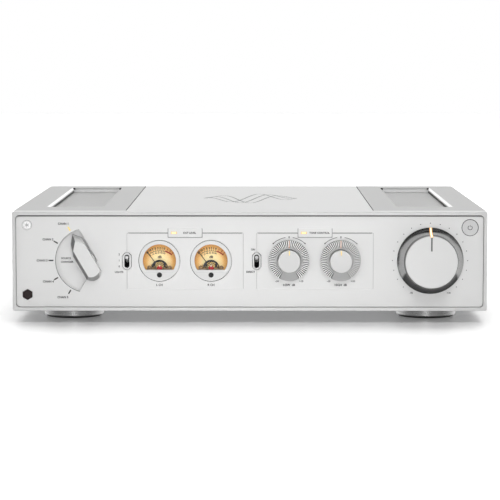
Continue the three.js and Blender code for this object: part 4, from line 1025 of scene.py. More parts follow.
@dataclass
class CaseShell:
    """The outer metal: frame, panel, casings, top and rear plates."""

    frame_edge: float = 0.35
    panel_edge: float = 0.22
    casing_edge: float = 0.25
    pocket_radius: float = 29.9
    pocket_depth: float = 2.5
    hole_margin: float = 1.0
    shade_strip_depth: float = 0.25
    notch_pitch: float = 4.2
    notch_size: tuple[float, float] = (1.9, 1.7)
    notch_drop: float = 3.0
    vent_corner_shade_radius: float = 1.2
    shadow_line: float = 0.75

    def build(self) -> None:
        """Copies each plate with its edges broken."""
        self._frame()
        self._shade_strips()
        self._panel()
        self._plate("top_plate", self.casing_edge)
        self._plate("rear_panel", self.panel_edge)
        for hand, side in (("left", -1), ("right", 1)):
            self._casing(hand, side)

    def _plate(self, node: str, edge: float) -> None:
        """Makes a flat plate, with painted shade along its seams.

        Args:
            node: the CAD node it stands for.
            edge: width of its broken edges.
        """
        shape = Shape.of_node(node).bevel(edge)
        # Faces in the seams take painted shade.
        shape.paint(1, self._at_seam)
        shape.finish(f"{node}_body", [CASE_METAL, PAINTED_DEEP_SHADE], "case_aluminium", replaced=[node],
                     smooth=False)

    def _at_seam(self, face: Face) -> bool:
        """Whether a face lies in one of the two long seams of the top."""
        seam = Extent.of("top_plate").high.x
        return abs(abs(spot(face).x) - seam) < self.hole_margin and face.normal.z < LEVEL

    def _casing(self, hand: str, side: int) -> None:
        """Makes a casing with painted highlights on its vent's edges, and black notches and two
        black rods at the vent's back corners as painted shade.

        Args:
            hand: left or right.
            side: minus one for left and one for right.
        """
        node = f"{hand}_casing"
        extent = Extent.of(node)
        mesh = Extent.of(f"{hand}_vent_mesh")
        shape = Shape.of_node(node).bevel(self.casing_edge)
        outer = mesh.high.x if side > 0 else mesh.low.x

        def bright(face: Face) -> bool:
            place = spot(face)
            inside = mesh.low.x < place.x < mesh.high.x and mesh.low.y < place.y < mesh.high.y
            slope = face.normal.x * side < -SLOPE and TILT < face.normal.z < FLAT
            end = face.normal.y < -SQUARE and place.y > mesh.centre.y
            return inside and (slope or end)

        # The vent's sloped inner edges and back end take a painted highlight, and the seams painted
        # shade.
        shape.paint(2, bright).paint(1, self._at_seam)
        shape.finish(f"{node}_body", [SHADED_CASING_METAL, PAINTED_DEEP_SHADE, PAINTED_HIGHLIGHT], "case_aluminium",
                     replaced=[node], smooth=False)
        lap = (mesh.size.x - VENT_WIDTH) / 2
        wall = outer - side * lap
        back = mesh.high.y - lap
        wide, tall = self.notch_size
        top = extent.high.z - self.notch_drop
        # Black blocks along the vent wall and black rods at its back corners are painted shade for
        # the dark notches and corner holes.
        dark = Shape()
        place = mesh.low.y + 2 * lap
        while place < back - lap:
            dark.add(Shape.block((wall - self.shade_strip_depth / 2, place - wide / 2, top - tall),
                                 (wall + self.shade_strip_depth / 2, place + wide / 2, top)))
            place += self.notch_pitch
        for edge in (wall, wall - side * VENT_WIDTH):
            screw = Shape.rod(self.vent_corner_shade_radius, 0, tall).turn(QUARTER, "X")
            dark.add(screw.move(edge, back, extent.high.z - self.shade_strip_depth - tall))
        dark.finish(f"{hand}_vent_notch_shades", [SHADE_AND_PART_BLACK], "case_aluminium", smooth=False)

    def _frame(self) -> None:
        """Makes the frame, with painted shade on the faces that look down into the gap over the
        panel.
        """
        shape = Shape.of_node("front_frame").bevel(self.frame_edge)
        panel = Extent.of("front_panel")
        gap = panel_face()
        # Downward faces over the panel's gap take painted shade.
        shape.paint(1, lambda f: f.normal.z < -SLOPE and spot(f).y > gap
                    and spot(f).z > panel.centre.z)
        shape.finish("front_frame_body", [CASE_METAL, PAINTED_DEEP_SHADE], "case_aluminium",
                     replaced=["front_frame"], smooth=False)

    def _shade_strips(self) -> None:
        """Makes grey strips of painted shade in the gap beside and under the panel, and a dark
        strip of painted shadow under the rim along the panel's top.
        """
        panel = Extent.of("front_panel")
        front = panel_face() + self.shade_strip_depth
        back = front + self.hole_margin
        reach = self.hole_margin / 2
        shape = Shape()
        for x in (panel.low.x - reach / 2, panel.high.x + reach / 2):
            shape.add(Shape.block((x - reach / 2, front, panel.low.z),
                                  (x + reach / 2, back, panel.high.z)))
        shape.add(Shape.block((panel.low.x, front, panel.low.z - reach),
                              (panel.high.x, back, panel.low.z)))
        # Dark strip of painted shadow cast by the frame's rim on the panel's top.
        top = Shape.block((panel.low.x, front - self.shade_strip_depth - INK_DEPTH,
                           panel.high.z - self.shadow_line),
                          (panel.high.x, back, panel.high.z + reach / 2))
        shape.add(top.paint(1))
        shape.finish("panel_gap_painted_shade", [GAP_SHADE_GREY, PAINTED_SHADE_AND_BADGE_LINES], "case_aluminium", smooth=False)

    def _panel(self) -> None:
        """Makes the panel, with painted shade on edges that face down or sideways and in the
        pocket, painted highlights on edges that face up, and near-black painted shade in the gaps
        round the controls.
        """
        shape = Shape.of_node("front_panel").bevel(self.panel_edge)
        holes = [(Extent.of(node), Extent.of(node).size.x / 2 + self.hole_margin)
                 for node in ("left_meter_bezel", "right_meter_bezel", "power_button")]
        pocket = Extent.of("selector_shaft").centre
        front = panel_face()
        half = Extent.of("front_panel").size / 2
        middle = Extent.of("front_panel").centre

        def at_border(face: Face) -> bool:
            place = spot(face) - middle
            return (abs(place.x) > half.x - self.hole_margin
                    or abs(place.z) > half.z - self.hole_margin)

        def in_gap(face: Face) -> bool:
            in_hole = any((spot(face) - hole.centre).xz.length < radius for hole, radius in holes)
            over = at_border(face) and face.normal.z > SLOPE
            return abs(face.normal.y) < STEEP and (over or in_hole)

        def leans(face: Face, way: Vector) -> bool:
            return (not at_border(face) and abs(face.normal.y) < FLAT
                    and face.normal.dot(way) > LEAN)

        def in_pocket(face: Face) -> bool:
            place = spot(face)
            near = (place - pocket).xz.length < self.pocket_radius
            return near and abs(face.normal.y) < FLAT and place.y < front + self.pocket_depth

        # Edges facing sideways and down take painted shade and edges facing up a painted highlight;
        # the pocket's walls take painted shade and the gaps near-black painted shade.
        for index, way in ((4, (-1, 0, 0)), (4, (1, 0, 0)), (1, (0, 0, -1)), (2, (0, 0, 1))):
            shape.paint(index, lambda f: leans(f, Vector(way)))
        shape.paint(1, in_pocket).paint(3, in_gap)
        shape.finish("front_panel_body", [PANEL_METAL, PAINTED_SHADE_AND_BADGE_LINES, PAINTED_HIGHLIGHT, PAINTED_DEEP_SHADE, SIDE_SHADE_GREY],
                     "panel_aluminium", replaced=["front_panel"])


@dataclass
class VentMesh:
    """Fine wire mesh under a vent."""

    node: str
    pitch: float = 1.3
    wire: float = 0.54

    def build(self) -> None:
        """Lays wires across and along, one layer over the other."""
        extent = Extent.of(self.node)
        middle = extent.centre.z
        shape = Shape()
        half = self.wire / 2
        across = int(extent.size.y / self.pitch)
        along = int(extent.size.x / self.pitch)
        for index in range(across):
            y = extent.low.y + (index + 0.5) * self.pitch
            shape.add(Shape.block((extent.low.x, y - half, middle),
                                  (extent.high.x, y + half, middle + self.wire)))
        for index in range(along):
            x = extent.low.x + (index + 0.5) * self.pitch
            shape.add(Shape.block((x - half, extent.low.y, middle - self.wire),
                                  (x + half, extent.high.y, middle)))
        shape.finish(f"{self.node}_wires", [MESH_METAL], "mesh_steel", replaced=[self.node],
                     smooth=False)


@dataclass
class TopOrnament:
    """Three crossing waves engraved in the top plate."""

    half_width: float = 46.0
    half_depth: float = 62.0
    line: float = 1.5
    strands: int = 3
    swings: float = 1.5
    steps: int = 72
    centre_share: float = 0.49

    def build(self) -> None:
        """Draws the waves, tapering to both ends, on the top."""
        plate = Extent.of("top_plate")
        front = Extent.of("front_frame").low.y
        centre_y = front + (plate.high.y - front) * self.centre_share
        shape = Shape()
        for strand in range(self.strands):
            phase = strand * math.pi / self.strands
            points = []
            for step in range(self.steps + 1):
                share = step / self.steps
                taper = math.sin(math.pi * share)
                angle = FULL_TURN * self.swings * share + phase
                points.append((self.half_width * (2 * share - 1),
                               self.half_depth * taper * math.sin(angle)))
            shape.add(Shape.stroke(points, self.line))
        shape.turn(-QUARTER, "X").move(0, centre_y, plate.high.z)
        shape.finish("top_ornament", [ENGRAVED], "case_aluminium", smooth=False)


@dataclass
class Foot:
    """Turned foot with its rubber pad."""

    node: str
    edge: float = 0.4
    rounding: float = 1.0

    def build(self) -> None:
        """Turns the foot with a soft lower edge over a slightly smaller pad."""
        extent = Extent.of(self.node)
        pad = Extent.of(f"{self.node}_pad")
        centre = extent.centre
        radius = extent.size.x / 2
        low, high = extent.low.z, extent.high.z
        profile = [(0, high), (radius - self.edge, high), (radius, high - self.edge)]
        for step in range(CORNER_STEPS + 1):
            angle = math.pi / 2 * step / CORNER_STEPS
            profile.append((radius - self.rounding * (1 - math.cos(angle)),
                            low + self.rounding * (1 - math.sin(angle))))
        profile += [(pad.size.x / 2, low), (pad.size.x / 2, pad.high.z), (0, pad.high.z)]
        foot = Shape.turned(profile).turn(QUARTER, "X")
        foot.move(centre.x, centre.y, 0)
        foot.finish(f"{self.node}_turned", [FOOT_METAL], "turned_metal", replaced=[self.node])
        seat = pad.size.x / 2 - self.edge / 2
        rubber = Shape.turned([(0, pad.high.z), (seat, pad.high.z), (seat, self.edge),
                               (seat - self.edge, 0), (0, 0)]).turn(QUARTER, "X")
        rubber.move(centre.x, centre.y, 0)
        rubber.finish(f"{self.node}_rubber", [RUBBER], "rubber", replaced=[f"{self.node}_pad"])


@dataclass
class VolumeControl:
    """Large coved knob with a lit bar in its skirt."""

    knob: Extent = field(default_factory=lambda: Extent.of("volume_knob"))
    face_radius: float = 23.6
    skirt_edge: float = 1.5
    face_chamfer: float = 0.5
    face_line: float = 0.9
    cove_steps: int = 20
    hollow_radius: float = 8.0
    hollow_depth: float = 13.0
    groove_width: float = 1.4
    groove_depth: float = 0.9
    groove_length: float = 13.6
    cove_bend: float = 0.4
    bar_width: float = 2.5
    bar_seat: float = 1.1
    bar_gap: float = 0.05
    dot_radius: float = 0.42
    dot_circle: float = 34.0
    dot_span: int = 135
    dot_step: int = 15
    end_mark_angle: int = 150
    end_mark_height: float = 1.5
    lamp_middle: tuple[int, int, int] = (255, 250, 222)
    lamp_side: tuple[int, int, int] = (226, 160, 78)
    lamp_strength: float = 0.7

    def _cove(self, inset: float) -> list[Point]:
        """Radius and depth along the cove, from the foot of the skirt to the face.

        Args:
            inset: distance under the surface.

        Returns:
            The curve's points.
        """
        radius = self.knob.size.x / 2
        base = self.knob.high.y - self.skirt_edge
        run = radius - self.face_radius - self.cove_bend
        foot = Vector((radius, base))
        bend = Vector((radius - run, base - run))
        crown = Vector((self.face_radius, self.knob.low.y + self.face_chamfer))
        points = []
        for step in range(self.cove_steps + 1):
            share = step / self.cove_steps
            place = foot * (1 - share) ** 2 + bend * 2 * share * (1 - share) + crown * share ** 2
            along = ((bend - foot) * (1 - share) + (crown - bend) * share).normalized()
            points.append((place.x + inset * along.y, place.y - inset * along.x))
        return points

    def build(self) -> None:
        """Makes the knob and its light."""
        centre = self.knob.centre
        radius = self.knob.size.x / 2
        top, back = self.knob.low.y, self.knob.high.y
        knob = Shape.turned([
            (0, top), (self.face_radius - self.face_chamfer, top), *reversed(self._cove(0)),
            (radius, back), (self.hollow_radius, back),
            (self.hollow_radius, back - self.hollow_depth), (0, back - self.hollow_depth)])
        face = top + self.groove_depth
        half = self.groove_width / 2
        low = self.face_radius - self.groove_length
        knob.cut(Shape.block((-half, top - CUT_MARGIN, low), (half, face, radius)))
        knob.cut(self._skirt_strip(-CUT_MARGIN, self.bar_seat, self.bar_width))
        limit = self.face_radius - self.face_chamfer / 2
        # The skirt takes the metal with painted reflection and shade; the pointer groove and a thin
        # ring beside the face take painted shade.
        knob.paint(1, lambda f: math.hypot(*spot(f).xz) > limit
                   and spot(f).y > top + self.face_chamfer / 4)
        knob.paint(2, lambda f: abs(spot(f).x) < half + MERGE_DISTANCE
                   and spot(f).z > low - MERGE_DISTANCE and spot(f).y > top + MERGE_DISTANCE)
        knob.paint(2, lambda f: limit < math.hypot(*spot(f).xz) < self.face_radius + self.face_line
                   and f.normal.y > -SQUARE)
        knob.move(centre.x, 0, centre.z)
        knob.finish("volume_knob_turned", [KNOB_METAL, SKIRT_PAINTED_REFLECTION, POINTER_GROOVE_SHADE],
                    "knob_aluminium", "volume", ["volume_knob"])
        light_width = self.bar_width - 2 * self.bar_gap
        light = self._skirt_strip(0, self.bar_seat, light_width)
        light.move(centre.x, 0, centre.z)
        lamp = GlowBar("volume_lamp", linear(self.lamp_middle), linear(self.lamp_side), centre.x,
                       light_width / 2, self.lamp_strength)
        light.finish("volume_lamp", [lamp], "warm_lens", "volume", ["volume_light_bar"],
                     smooth=False)

    def _skirt_strip(self, outside: float, inside: float, width: float) -> Shape:
        """Strip along the skirt at twelve o'clock.

        Args:
            outside: depth of its outer side under the surface.
            inside: depth of its inner side.
            width: width across.

        Returns:
            The strip.
        """
        outer, inner = self._cove(outside), self._cove(inside)
        if outside < 0:
            lap = -outside
            outer = [(outer[0][0] + lap, outer[0][1]), *outer, (outer[-1][0], outer[-1][1] - lap)]
            inner = [(inner[0][0] + lap, inner[0][1]), *inner, (inner[-1][0], inner[-1][1] - lap)]
        outline = outer + inner[::-1]
        strip = Shape.slab([(depth, radius) for radius, depth in outline], -width / 2, width / 2)
        return strip.turn(QUARTER, "Z").weld()

    def marks(self, surface: float) -> list[Shape]:
        """Dots and end marks round the knob.

        Args:
            surface: depth of the panel's face.

        Returns:
            The inked shapes.
        """
        made = [(angle, Shape.rod(self.dot_radius, -INK_DEPTH, INK_DEPTH, DOT_STEPS))
                for angle in range(-self.dot_span, self.dot_span + 1, self.dot_step)]
        made += [(side * self.end_mark_angle, Shape.lettering(text, self.end_mark_height))
                 for text, side in (("-90", -1), ("+10", 1))]
        centre = self.knob.centre
        for angle, mark in made:
            turned = math.radians(angle)
            mark.move(centre.x + self.dot_circle * math.sin(turned), surface,
                      centre.z + self.dot_circle * math.cos(turned))
        return [mark for _, mark in made]


@dataclass
class SourceSelector:
    """Pointed handle in its pocket, with five places round it."""

    handle_edge: float = 0.16
    flank_width: float = 1.7
    flank_lean: float = 0.15
    tail_lean: float = 0.55
    side_lean: float = 0.8
    places: int = 5
    first_angle: int = -30
    place_step: int = -30
    mark_circle: float = 33.2
    mark_length: float = 4.3
    mark_width: float = 1.15

    def build(self) -> None:
        """Makes the handle, with painted shade on its polished left flank, on its tail and on its
        sides sunk below the panel's face.
        """
        handle = Shape.of_node("selector_handle")
        self._slope_flank(handle)
        handle.bevel(self.handle_edge)
        sunken = panel_face()
        # The left flank, the tail and the sunken sides take painted shade.
        handle.paint(1, lambda f: f.normal.y > -SQUARE and f.normal.x < self.flank_lean)
        handle.paint(2, lambda f: f.normal.y > -SQUARE and f.normal.z < -self.tail_lean
                     and f.normal.x > -SLOPE)
        handle.paint(3, lambda f: spot(f).y > sunken and abs(f.normal.y) < SQUARE)
        handle.finish("selector_pointer", [KNOB_METAL, FLANK_SHADE_METAL, TAIL_SHADE_METAL, PAINTED_SHADE_AND_BADGE_LINES],
                      "knob_aluminium", "selector", ["selector_handle"])

    def _slope_flank(self, handle: Shape) -> None:
        """Slopes the long left edge of the handle's face.

        Args:
            handle: the handle.
        """
        handle.bm.normal_update()
        edges = []
        for edge in handle.bm.edges:
            front = [face for face in edge.link_faces if face.normal.y < -FLAT]
            left = [face for face in edge.link_faces
                    if face.normal.y > -self.side_lean and face.normal.x < -TILT]
            if front and left:
                edges.append(edge)
        handle.break_edges(edges, self.flank_width, 1)

    def _mark(self, index: int, surface: float) -> Shape:
        """One bar at a place.

        Args:
            index: which place, from the first.
            surface: depth of the panel's face.

        Returns:
            The bar.
        """
        centre = Extent.of("selector_shaft").centre
        angle = self.first_angle + index * self.place_step
        half = self.mark_width / 2
        bar = Shape.block((-half, -INK_DEPTH, self.mark_circle - self.mark_length / 2),
                          (half, INK_DEPTH, self.mark_circle + self.mark_length / 2))
        return bar.turn(angle, "Y").move(centre.x, surface, centre.z)

    def lamp(self, surface: float) -> Shape:
        """The lit bar at the place in use."""
        return self._mark(0, surface)

    def marks(self, surface: float) -> list[Shape]:
        """The dark bars at the other places."""
        return [self._mark(index, surface) for index in range(1, self.places)]


@dataclass
class ToneControl:
    """Finned ring round a plain knob."""

    hand: str
    fin_root: float = 12.4
    knob_edge: float = 0.45
    pointer_width: float = 0.85
    pointer_length: float = 4.4
    painted_ring_glow_width: float = 0.62
    ring_bore: float = 10.9
    fins: int = 50
    fin_span: float = 300.0
    fin_share: float = 0.5
    backing: float = 0.15
    arc_radius: float = 21.1
    arc_start: float = 9.0
    arc_end: float = 43.0
    arc_width: float = 0.45
    arc_tip: float = 0.6
    zero_height: float = 1.8
    shaft_radius: float = 3.0
    slot_depth: float = 0.5
    pointer_sink: float = 0.05
    line_proud: float = 0.05
    line_sunk: float = 0.2
    line_gap: float = 1.2

    def build(self) -> None:
        """Makes the ring, the knob, its lit pointer and a painted glow on the ring where the
        pointer's light falls.
        """
        extent = Extent.of(f"{self.hand}_knob")
        centre, radius = extent.centre, extent.size.x / 2
        ring_extent = Extent.of(f"{self.hand}_ring")
        self._ring(ring_extent)
        low = extent.low.y
        edge = self.knob_edge
        back = ring_extent.high.y
        shaft = self.shaft_radius
        profile = [(0, low), (radius - edge, low)]
        for step in range(1, CORNER_STEPS + 1):
            angle = math.pi / 2 * step / CORNER_STEPS
            profile.append((radius - edge + edge * math.sin(angle),
                            low + edge * (1 - math.cos(angle))))
        profile += [(radius, back), (shaft, back), (shaft, extent.high.y), (0, extent.high.y)]
        cap = Shape.turned(profile)
        slot_half = self.pointer_width / 2
        cap.cut(Shape.block((-slot_half, low - CUT_MARGIN, radius - self.pointer_length),
                            (slot_half, low + self.slot_depth, radius + CUT_MARGIN)))
        # The cap's sides behind the ring's face take painted shade.
        cap.paint(1, lambda f: spot(f).y > ring_extent.low.y - edge)
        cap.move(centre.x, 0, centre.z)
        cap.finish(f"{self.hand}_cap", [CAP_METAL, PAINTED_DEEP_SHADE], "knob_aluminium", self.hand,
                   [f"{self.hand}_knob"])
        lamp = Shape.block((-slot_half, low + self.pointer_sink, radius - self.pointer_length),
                           (slot_half, low + self.slot_depth, radius - edge))
        lamp.move(centre.x, 0, centre.z)
        lamp.finish(f"{self.hand}_pointer", [POINTER_LAMP], "warm_lens", self.hand, smooth=False)
        # A glowing strip on the ring at zero is painted light from the pointer's lamp, not a lamp
        # of its own.
        line_half = self.painted_ring_glow_width / 2
        face = ring_extent.low.y
        painted_ring_glow = Shape.block((-line_half, face - self.line_proud, radius + self.line_gap),
                                (line_half, face + self.line_sunk, ring_extent.size.z / 2))
        painted_ring_glow.move(centre.x, 0, centre.z)
        painted_ring_glow.finish(f"{self.hand}_painted_ring_glow", [POINTER_GLOW_PAINT], "warm_lens", smooth=False)

    def _ring(self, extent: Extent) -> None:
        """Makes the fins, bright on top with painted shade between them, over a backing disc of
        painted shade, and the base in a shaded copy of the ring's metal.

        Args:
            extent: the ring's box.
        """
        centre, radius = extent.centre, extent.size.x / 2
        front, back = extent.low.y, extent.high.y
        pitch = self.fin_span / self.fins
        half = pitch * self.fin_share / 2
        fins = Shape()
        for index in range(self.fins):
            angle = (index + 0.5) * pitch - self.fin_span / 2
            fins.add(Shape.band(self.fin_root, radius, angle - half, angle + half, front, back))
        # The fins' sides take painted shade.
        fins.paint(1, lambda f: f.normal.y > -SLOPE)
        fins.move(centre.x, 0, centre.z)
        fins.finish(f"{self.hand}_ring_fins", [RING_METAL, PAINTED_DEEP_SHADE], "ring_metal", smooth=False)
        inner = self.ring_bore
        root = self.fin_root
        base = Shape.turned([(inner, front), (root, front), (root, back), (inner, back),
                             (inner, front)])
        start = (self.fin_span + pitch * self.fin_share) / 2
        base.add(Shape.band(root, radius, start, CIRCLE - start, front, back))
        # The bore's walls take painted shade.
        base.paint(1, lambda f: abs(f.normal.y) < SLOPE and math.hypot(*spot(f).xz) < root)
        base.move(centre.x, 0, centre.z)
        base.finish(f"{self.hand}_ring_base", [SHADED_RING_BASE, PAINTED_DEEP_SHADE], "ring_metal",
                    replaced=[f"{self.hand}_ring"])
        # A near-black disc of painted shade behind the fins.
        bed = Shape.turned([(inner, back), (radius - self.backing, back),
                            (radius - self.backing, back + self.backing),
                            (inner, back + self.backing), (inner, back)])
        bed.move(centre.x, 0, centre.z)
        bed.finish(f"{self.hand}_ring_shade_backing", [PAINTED_DEEP_SHADE], "ring_metal")

    def marks(self, surface: float) -> list[Shape]:
        """Zero, arcs and end marks round the ring.

        Args:
            surface: depth of the sunken field.

        Returns:
            The inked shapes.
        """
        centre = Extent.of(f"{self.hand}_ring").centre
        zero = Shape.lettering("0", self.zero_height)
        made = [zero.move(centre.x, surface, centre.z + self.arc_radius)]
        for side in (-1, 1):
            start, end = side * self.arc_start, side * self.arc_end
            half = self.arc_width / 2
            arc = Shape.band(self.arc_radius - half, self.arc_radius + half, start, end,
                             -INK_DEPTH, INK_DEPTH)
            tip = Shape.rod(self.arc_tip, -INK_DEPTH, INK_DEPTH, DOT_STEPS)
            turned = math.radians(end)
            tip.move(self.arc_radius * math.sin(turned), 0, self.arc_radius * math.cos(turned))
            made.append(arc.add(tip).move(centre.x, surface, centre.z))
        return made


@dataclass
class ToggleSwitch:
    """Bat lever in a flanged slot."""

    name: str
    body: str
    flange_edge: float = 0.5
    slot_share: float = 1.2
    lever_edge: float = 0.2
    lever_angle: float = 25.0

    def build(self) -> None:
        """Makes the flange, with painted highlights on its upper chamfers and painted shade inside
        its slot, and the lever.
        """
        extent = Extent.of(f"{self.name}_switch")
        flange = Shape.of_node(f"{self.name}_switch").bevel(self.flange_edge)
        inner = extent.low.y + self.flange_edge * self.slot_share
        # Chamfers facing up take a painted highlight; the slot's inside takes painted shade.
        flange.paint(1, lambda f: f.normal.z > TILT and f.normal.y < -TILT)
        flange.paint(2, lambda f: spot(f).y > inner)
        flange.finish(f"{self.name}_switch_body", [BEZEL_METAL, PAINTED_HIGHLIGHT, SHADE_AND_PART_BLACK],
                      "switch_metal", replaced=[f"{self.name}_switch"])
        lever = Shape.of_node(f"{self.name}_lever").bevel(self.lever_edge,
                                                          angle=math.radians(self.lever_angle))
        lever.finish(f"{self.name}_lever_bat", [LEVER_METAL], "chrome", self.body,
                     [f"{self.name}_lever"])


@dataclass
class NeedleMeter:
    """Lit meter with a printed scale, a needle and its movement behind a bezel."""

    hand: str
    scale_drop: float = 7.9
    scale_radius: float = 16.4
    scale_start: float = -38.0
    red_start: float = 17.0
    scale_end: float = 41.0
    line: float = 0.32
    red_band: float = 1.0
    tick: float = 1.2
    numeral: float = 1.75
    numeral_lift: float = 2.5
    numerals: Sequence[tuple[str, float]] = (
        ("20", -37), ("10", -28), ("7", -20), ("5", -12), ("3", -5), ("2", 1), ("1", 7), ("0", 13),
        ("1", 22), ("2", 31), ("3", 39))
    small_tick: float = 0.8
    small_numeral: float = 1.25
    small_drop: float = 1.75
    small_numerals: Sequence[tuple[str, float]] = (
        ("0", -34), ("20", -24), ("40", -14), ("60", -4), ("80", 6), ("100", 15))
    unit_height: float = 2.2
    unit_rise: float = 10.9
    bezel_edge: float = 0.12
    line_drop: float = 2.5
    line_half: float = 12.6
    line_proud: float = 0.02
    line_sunk: float = 0.1
    line_width: float = 0.24
    screw_drop: float = 12.9
    screw_radius: float = 2.35
    screw_proud: float = 0.3
    screw_depth: float = 1.0
    screw_crown_share: float = 0.7
    slot_share: float = 0.6
    slot_width: float = 0.4
    slot_floor: float = 0.1
    slot_angle: float = 35.0
    arch_radius: float = 7.6
    arch_bore: float = 0.2
    movement_depth: float = 0.6
    movement_gap: float = 0.2
    coil_arcs: Sequence[Triple] = ((2.6, 0.5, 70), (3.9, 0.45, 58), (5.2, 0.4, 44))
    stud_reaches: Sequence[float] = (3.2, 4.6, 6.0, 7.6, 9.0)
    stud_radius: float = 0.42
    stud_share: float = 0.5
    stud_step_share: float = 0.22
    stud_drop_share: float = 0.55
    stud_kinds: int = 3
    bar_half: float = 11.4
    bar_height: float = 2.4
    post_radius: float = 1.5
    post_inset: float = 2.0
    post_rise: float = 0.9
    post_steps: int = 24
    jewel_dome: Sequence[Point] = ((0, -0.1), (1.7, 0), (2.4, 0.25))
    jewel_radius: float = 2.6
    stop_outline: Sequence[Point] = ((-0.75, 1.5), (0.75, 1.5), (0, 3.6))

    def build(self) -> None:
        """Makes every part of the meter."""
        dial = Extent.of(f"{self.hand}_meter_dial")
        centre = dial.centre
        card = DialCard(f"{self.hand}_dial_card", tuple(centre), dial.size.x / 2)
        dress(f"{self.hand}_meter_dial", card)
        self._bezel(centre)
        self._scale(centre.x, dial.low.y, centre.z)
        self._movement(centre.x, centre.z)
        self._screw(centre.x, centre.z)

    def _bezel(self, centre: Vector) -> None:
        """Makes the bezel, with painted shade on its outer side.

        Args:
            centre: middle of the meter.
        """
        extent = Extent.of(f"{self.hand}_meter_bezel")
        bezel = Shape.of_node(f"{self.hand}_meter_bezel").bevel(self.bezel_edge)
        rim = extent.size.x / 2 - self.bezel_edge
        # The outer side takes near-black painted shade.
        bezel.paint(1, lambda f: abs(f.normal.y) < SLOPE and (spot(f) - centre).xz.length > rim)
        bezel.finish(f"{self.hand}_bezel", [BEZEL_METAL, PAINTED_DEEP_SHADE], "bezel_metal",
                     replaced=[f"{self.hand}_meter_bezel"])

    def _scale(self, x: float, y: float, z: float) -> None:
        """Prints the scale on the dial.

        Args:
            x: middle of the dial across.
            y: depth of the dial's face.
            z: middle of the dial's height.
        """
        black, red = Shape(), Shape()
        half = self.line / 2
        radius = self.scale_radius
        black.add(Shape.band(radius - half, radius + half, self.scale_start, self.red_start,
                             -INK_DEPTH, 0))
        red.add(Shape.band(radius - half, radius + self.red_band, self.red_start, self.scale_end,
                           -INK_DEPTH, 0))
        for figures, height, start, end, lift, weight in (
                (self.numerals, self.numeral, 0, self.tick, self.numeral_lift, HEAVY_SHARE),
                (self.small_numerals, self.small_numeral, -self.small_tick, 0, -self.small_drop,
                 LIGHT_SHARE)):
            for text, angle in figures:
                ink = red if angle > self.red_start else black
                tick = Shape.block((-half, -INK_DEPTH, radius + start), (half, 0, radius + end))
                ink.add(tick.turn(angle, "Y"))
                letters = Shape.lettering(text, height, weight=weight)
                letters.move(0, -INK_DEPTH / 2, radius + lift)
                ink.add(letters.turn(angle, "Y"))
        unit = Shape.lettering("dB", self.unit_height, weight=HEAVY_SHARE)
        black.add(unit.move(0, -INK_DEPTH / 2, self.unit_rise))
        for ink, finish, name in ((black, INK_BLACK, "scale"), (red, INK_RED, "red_scale")):
            ink.move(x, y, z - self.scale_drop)
            ink.finish(f"{self.hand}_{name}", [finish], "needle_black", smooth=False)

    def _movement(self, x: float, z: float) -> None:
        """Makes the black arch over the movement, its brass work and its jewel.

        Args:
            x: middle of the meter across.
            z: middle of its height.
        """
        glass = Extent.of(f"{self.hand}_meter_glass").high.y
        front = glass + self.movement_gap
        back = front + self.movement_depth
        mid = (front + back) / 2
        pivot = Extent.of("left_meter_needle").low.z
        drop = Extent.of("left_meter_dial").centre.z - pivot - NEEDLE_HUB
        place = (x, 0, z - drop)
        arch = Shape.band(self.arch_bore, self.arch_radius, -QUARTER, QUARTER, mid, back)
        arch.bevel(self.bezel_edge).move(*place)
        arch.finish(f"{self.hand}_movement_arch", [SHADE_AND_PART_BLACK], "black_plastic")
        brass = Shape()
        for radius, width, sweep in self.coil_arcs:
            brass.add(Shape.band(radius, radius + width, -sweep, sweep, front, mid))
        for index, reach in enumerate(self.stud_reaches):
            for side in (-1, 1):
                kind = (index * 2 + side) % self.stud_kinds
                height = self.bar_height * (self.stud_share + self.stud_step_share * kind)
                rod = Shape.rod(self.stud_radius, 0, height, DOT_STEPS).turn(QUARTER, "X")
                fall = self.bar_height * self.stud_drop_share
                brass.add(rod.move(side * reach, mid, height - fall))
        brass.move(*place).finish(f"{self.hand}_movement_brass", [BRASS], "terminal_metal")
        bar = Shape.block((-self.bar_half, mid, -self.bar_height / 2),
                          (self.bar_half, back, self.bar_height / 2)).bevel(self.bezel_edge)
        for side in (-1, 1):
            post = Shape.rod(self.post_radius, front, back, self.post_steps)
            bar.add(post.move(side * (self.bar_half - self.post_inset), 0, self.post_rise))
        bar.move(*place).finish(f"{self.hand}_movement_bar", [DARK_BRASS], "terminal_metal")
        dome = [(radius, front + depth) for radius, depth in self.jewel_dome]
        jewel = Shape.turned([*dome, (self.jewel_radius, back), (0, back)], SMALL_TURN_STEPS)
        jewel.move(*place).finish(f"{self.hand}_jewel", [RED_JEWEL], "red_cap")
        stop = Shape.slab(self.stop_outline, front, mid)
        stop.move(*place).finish(f"{self.hand}_movement_stop", [INK_WHITE], "bezel_metal")

    def _screw(self, x: float, z: float) -> None:
        """Makes the black adjusting screw in the bezel's lower part, and the line over it.

        Args:
            x: middle of the meter across.
            z: middle of its height.
        """
        front = Extent.of(f"{self.hand}_meter_bezel").low.y
        crown = front - self.screw_proud
        radius = self.screw_radius
        head = Shape.turned([(0, crown), (radius * self.screw_crown_share, crown), (radius, front),
                             (radius, front + self.screw_depth), (0, front + self.screw_depth)],
                            SMALL_TURN_STEPS)
        reach, half = radius * self.slot_share, self.slot_width / 2
        slot = Shape.block((-reach, front - CUT_MARGIN, -half),
                           (reach, front - self.slot_floor, half))
        head.cut(slot.turn(self.slot_angle, "Y"))
        head.move(x, 0, z - self.screw_drop)
        head.finish(f"{self.hand}_zero_screw", [BLACK_PLASTIC], "black_plastic")
        half = self.line_width / 2
        line = Shape.block((-self.line_half, front - self.line_proud, -half),
                           (self.line_half, front + self.line_sunk, half))
        line.move(x, 0, z - self.screw_drop + self.line_drop)
        line.finish(f"{self.hand}_bezel_line", [FAINT_LINE], "bezel_metal", smooth=False)


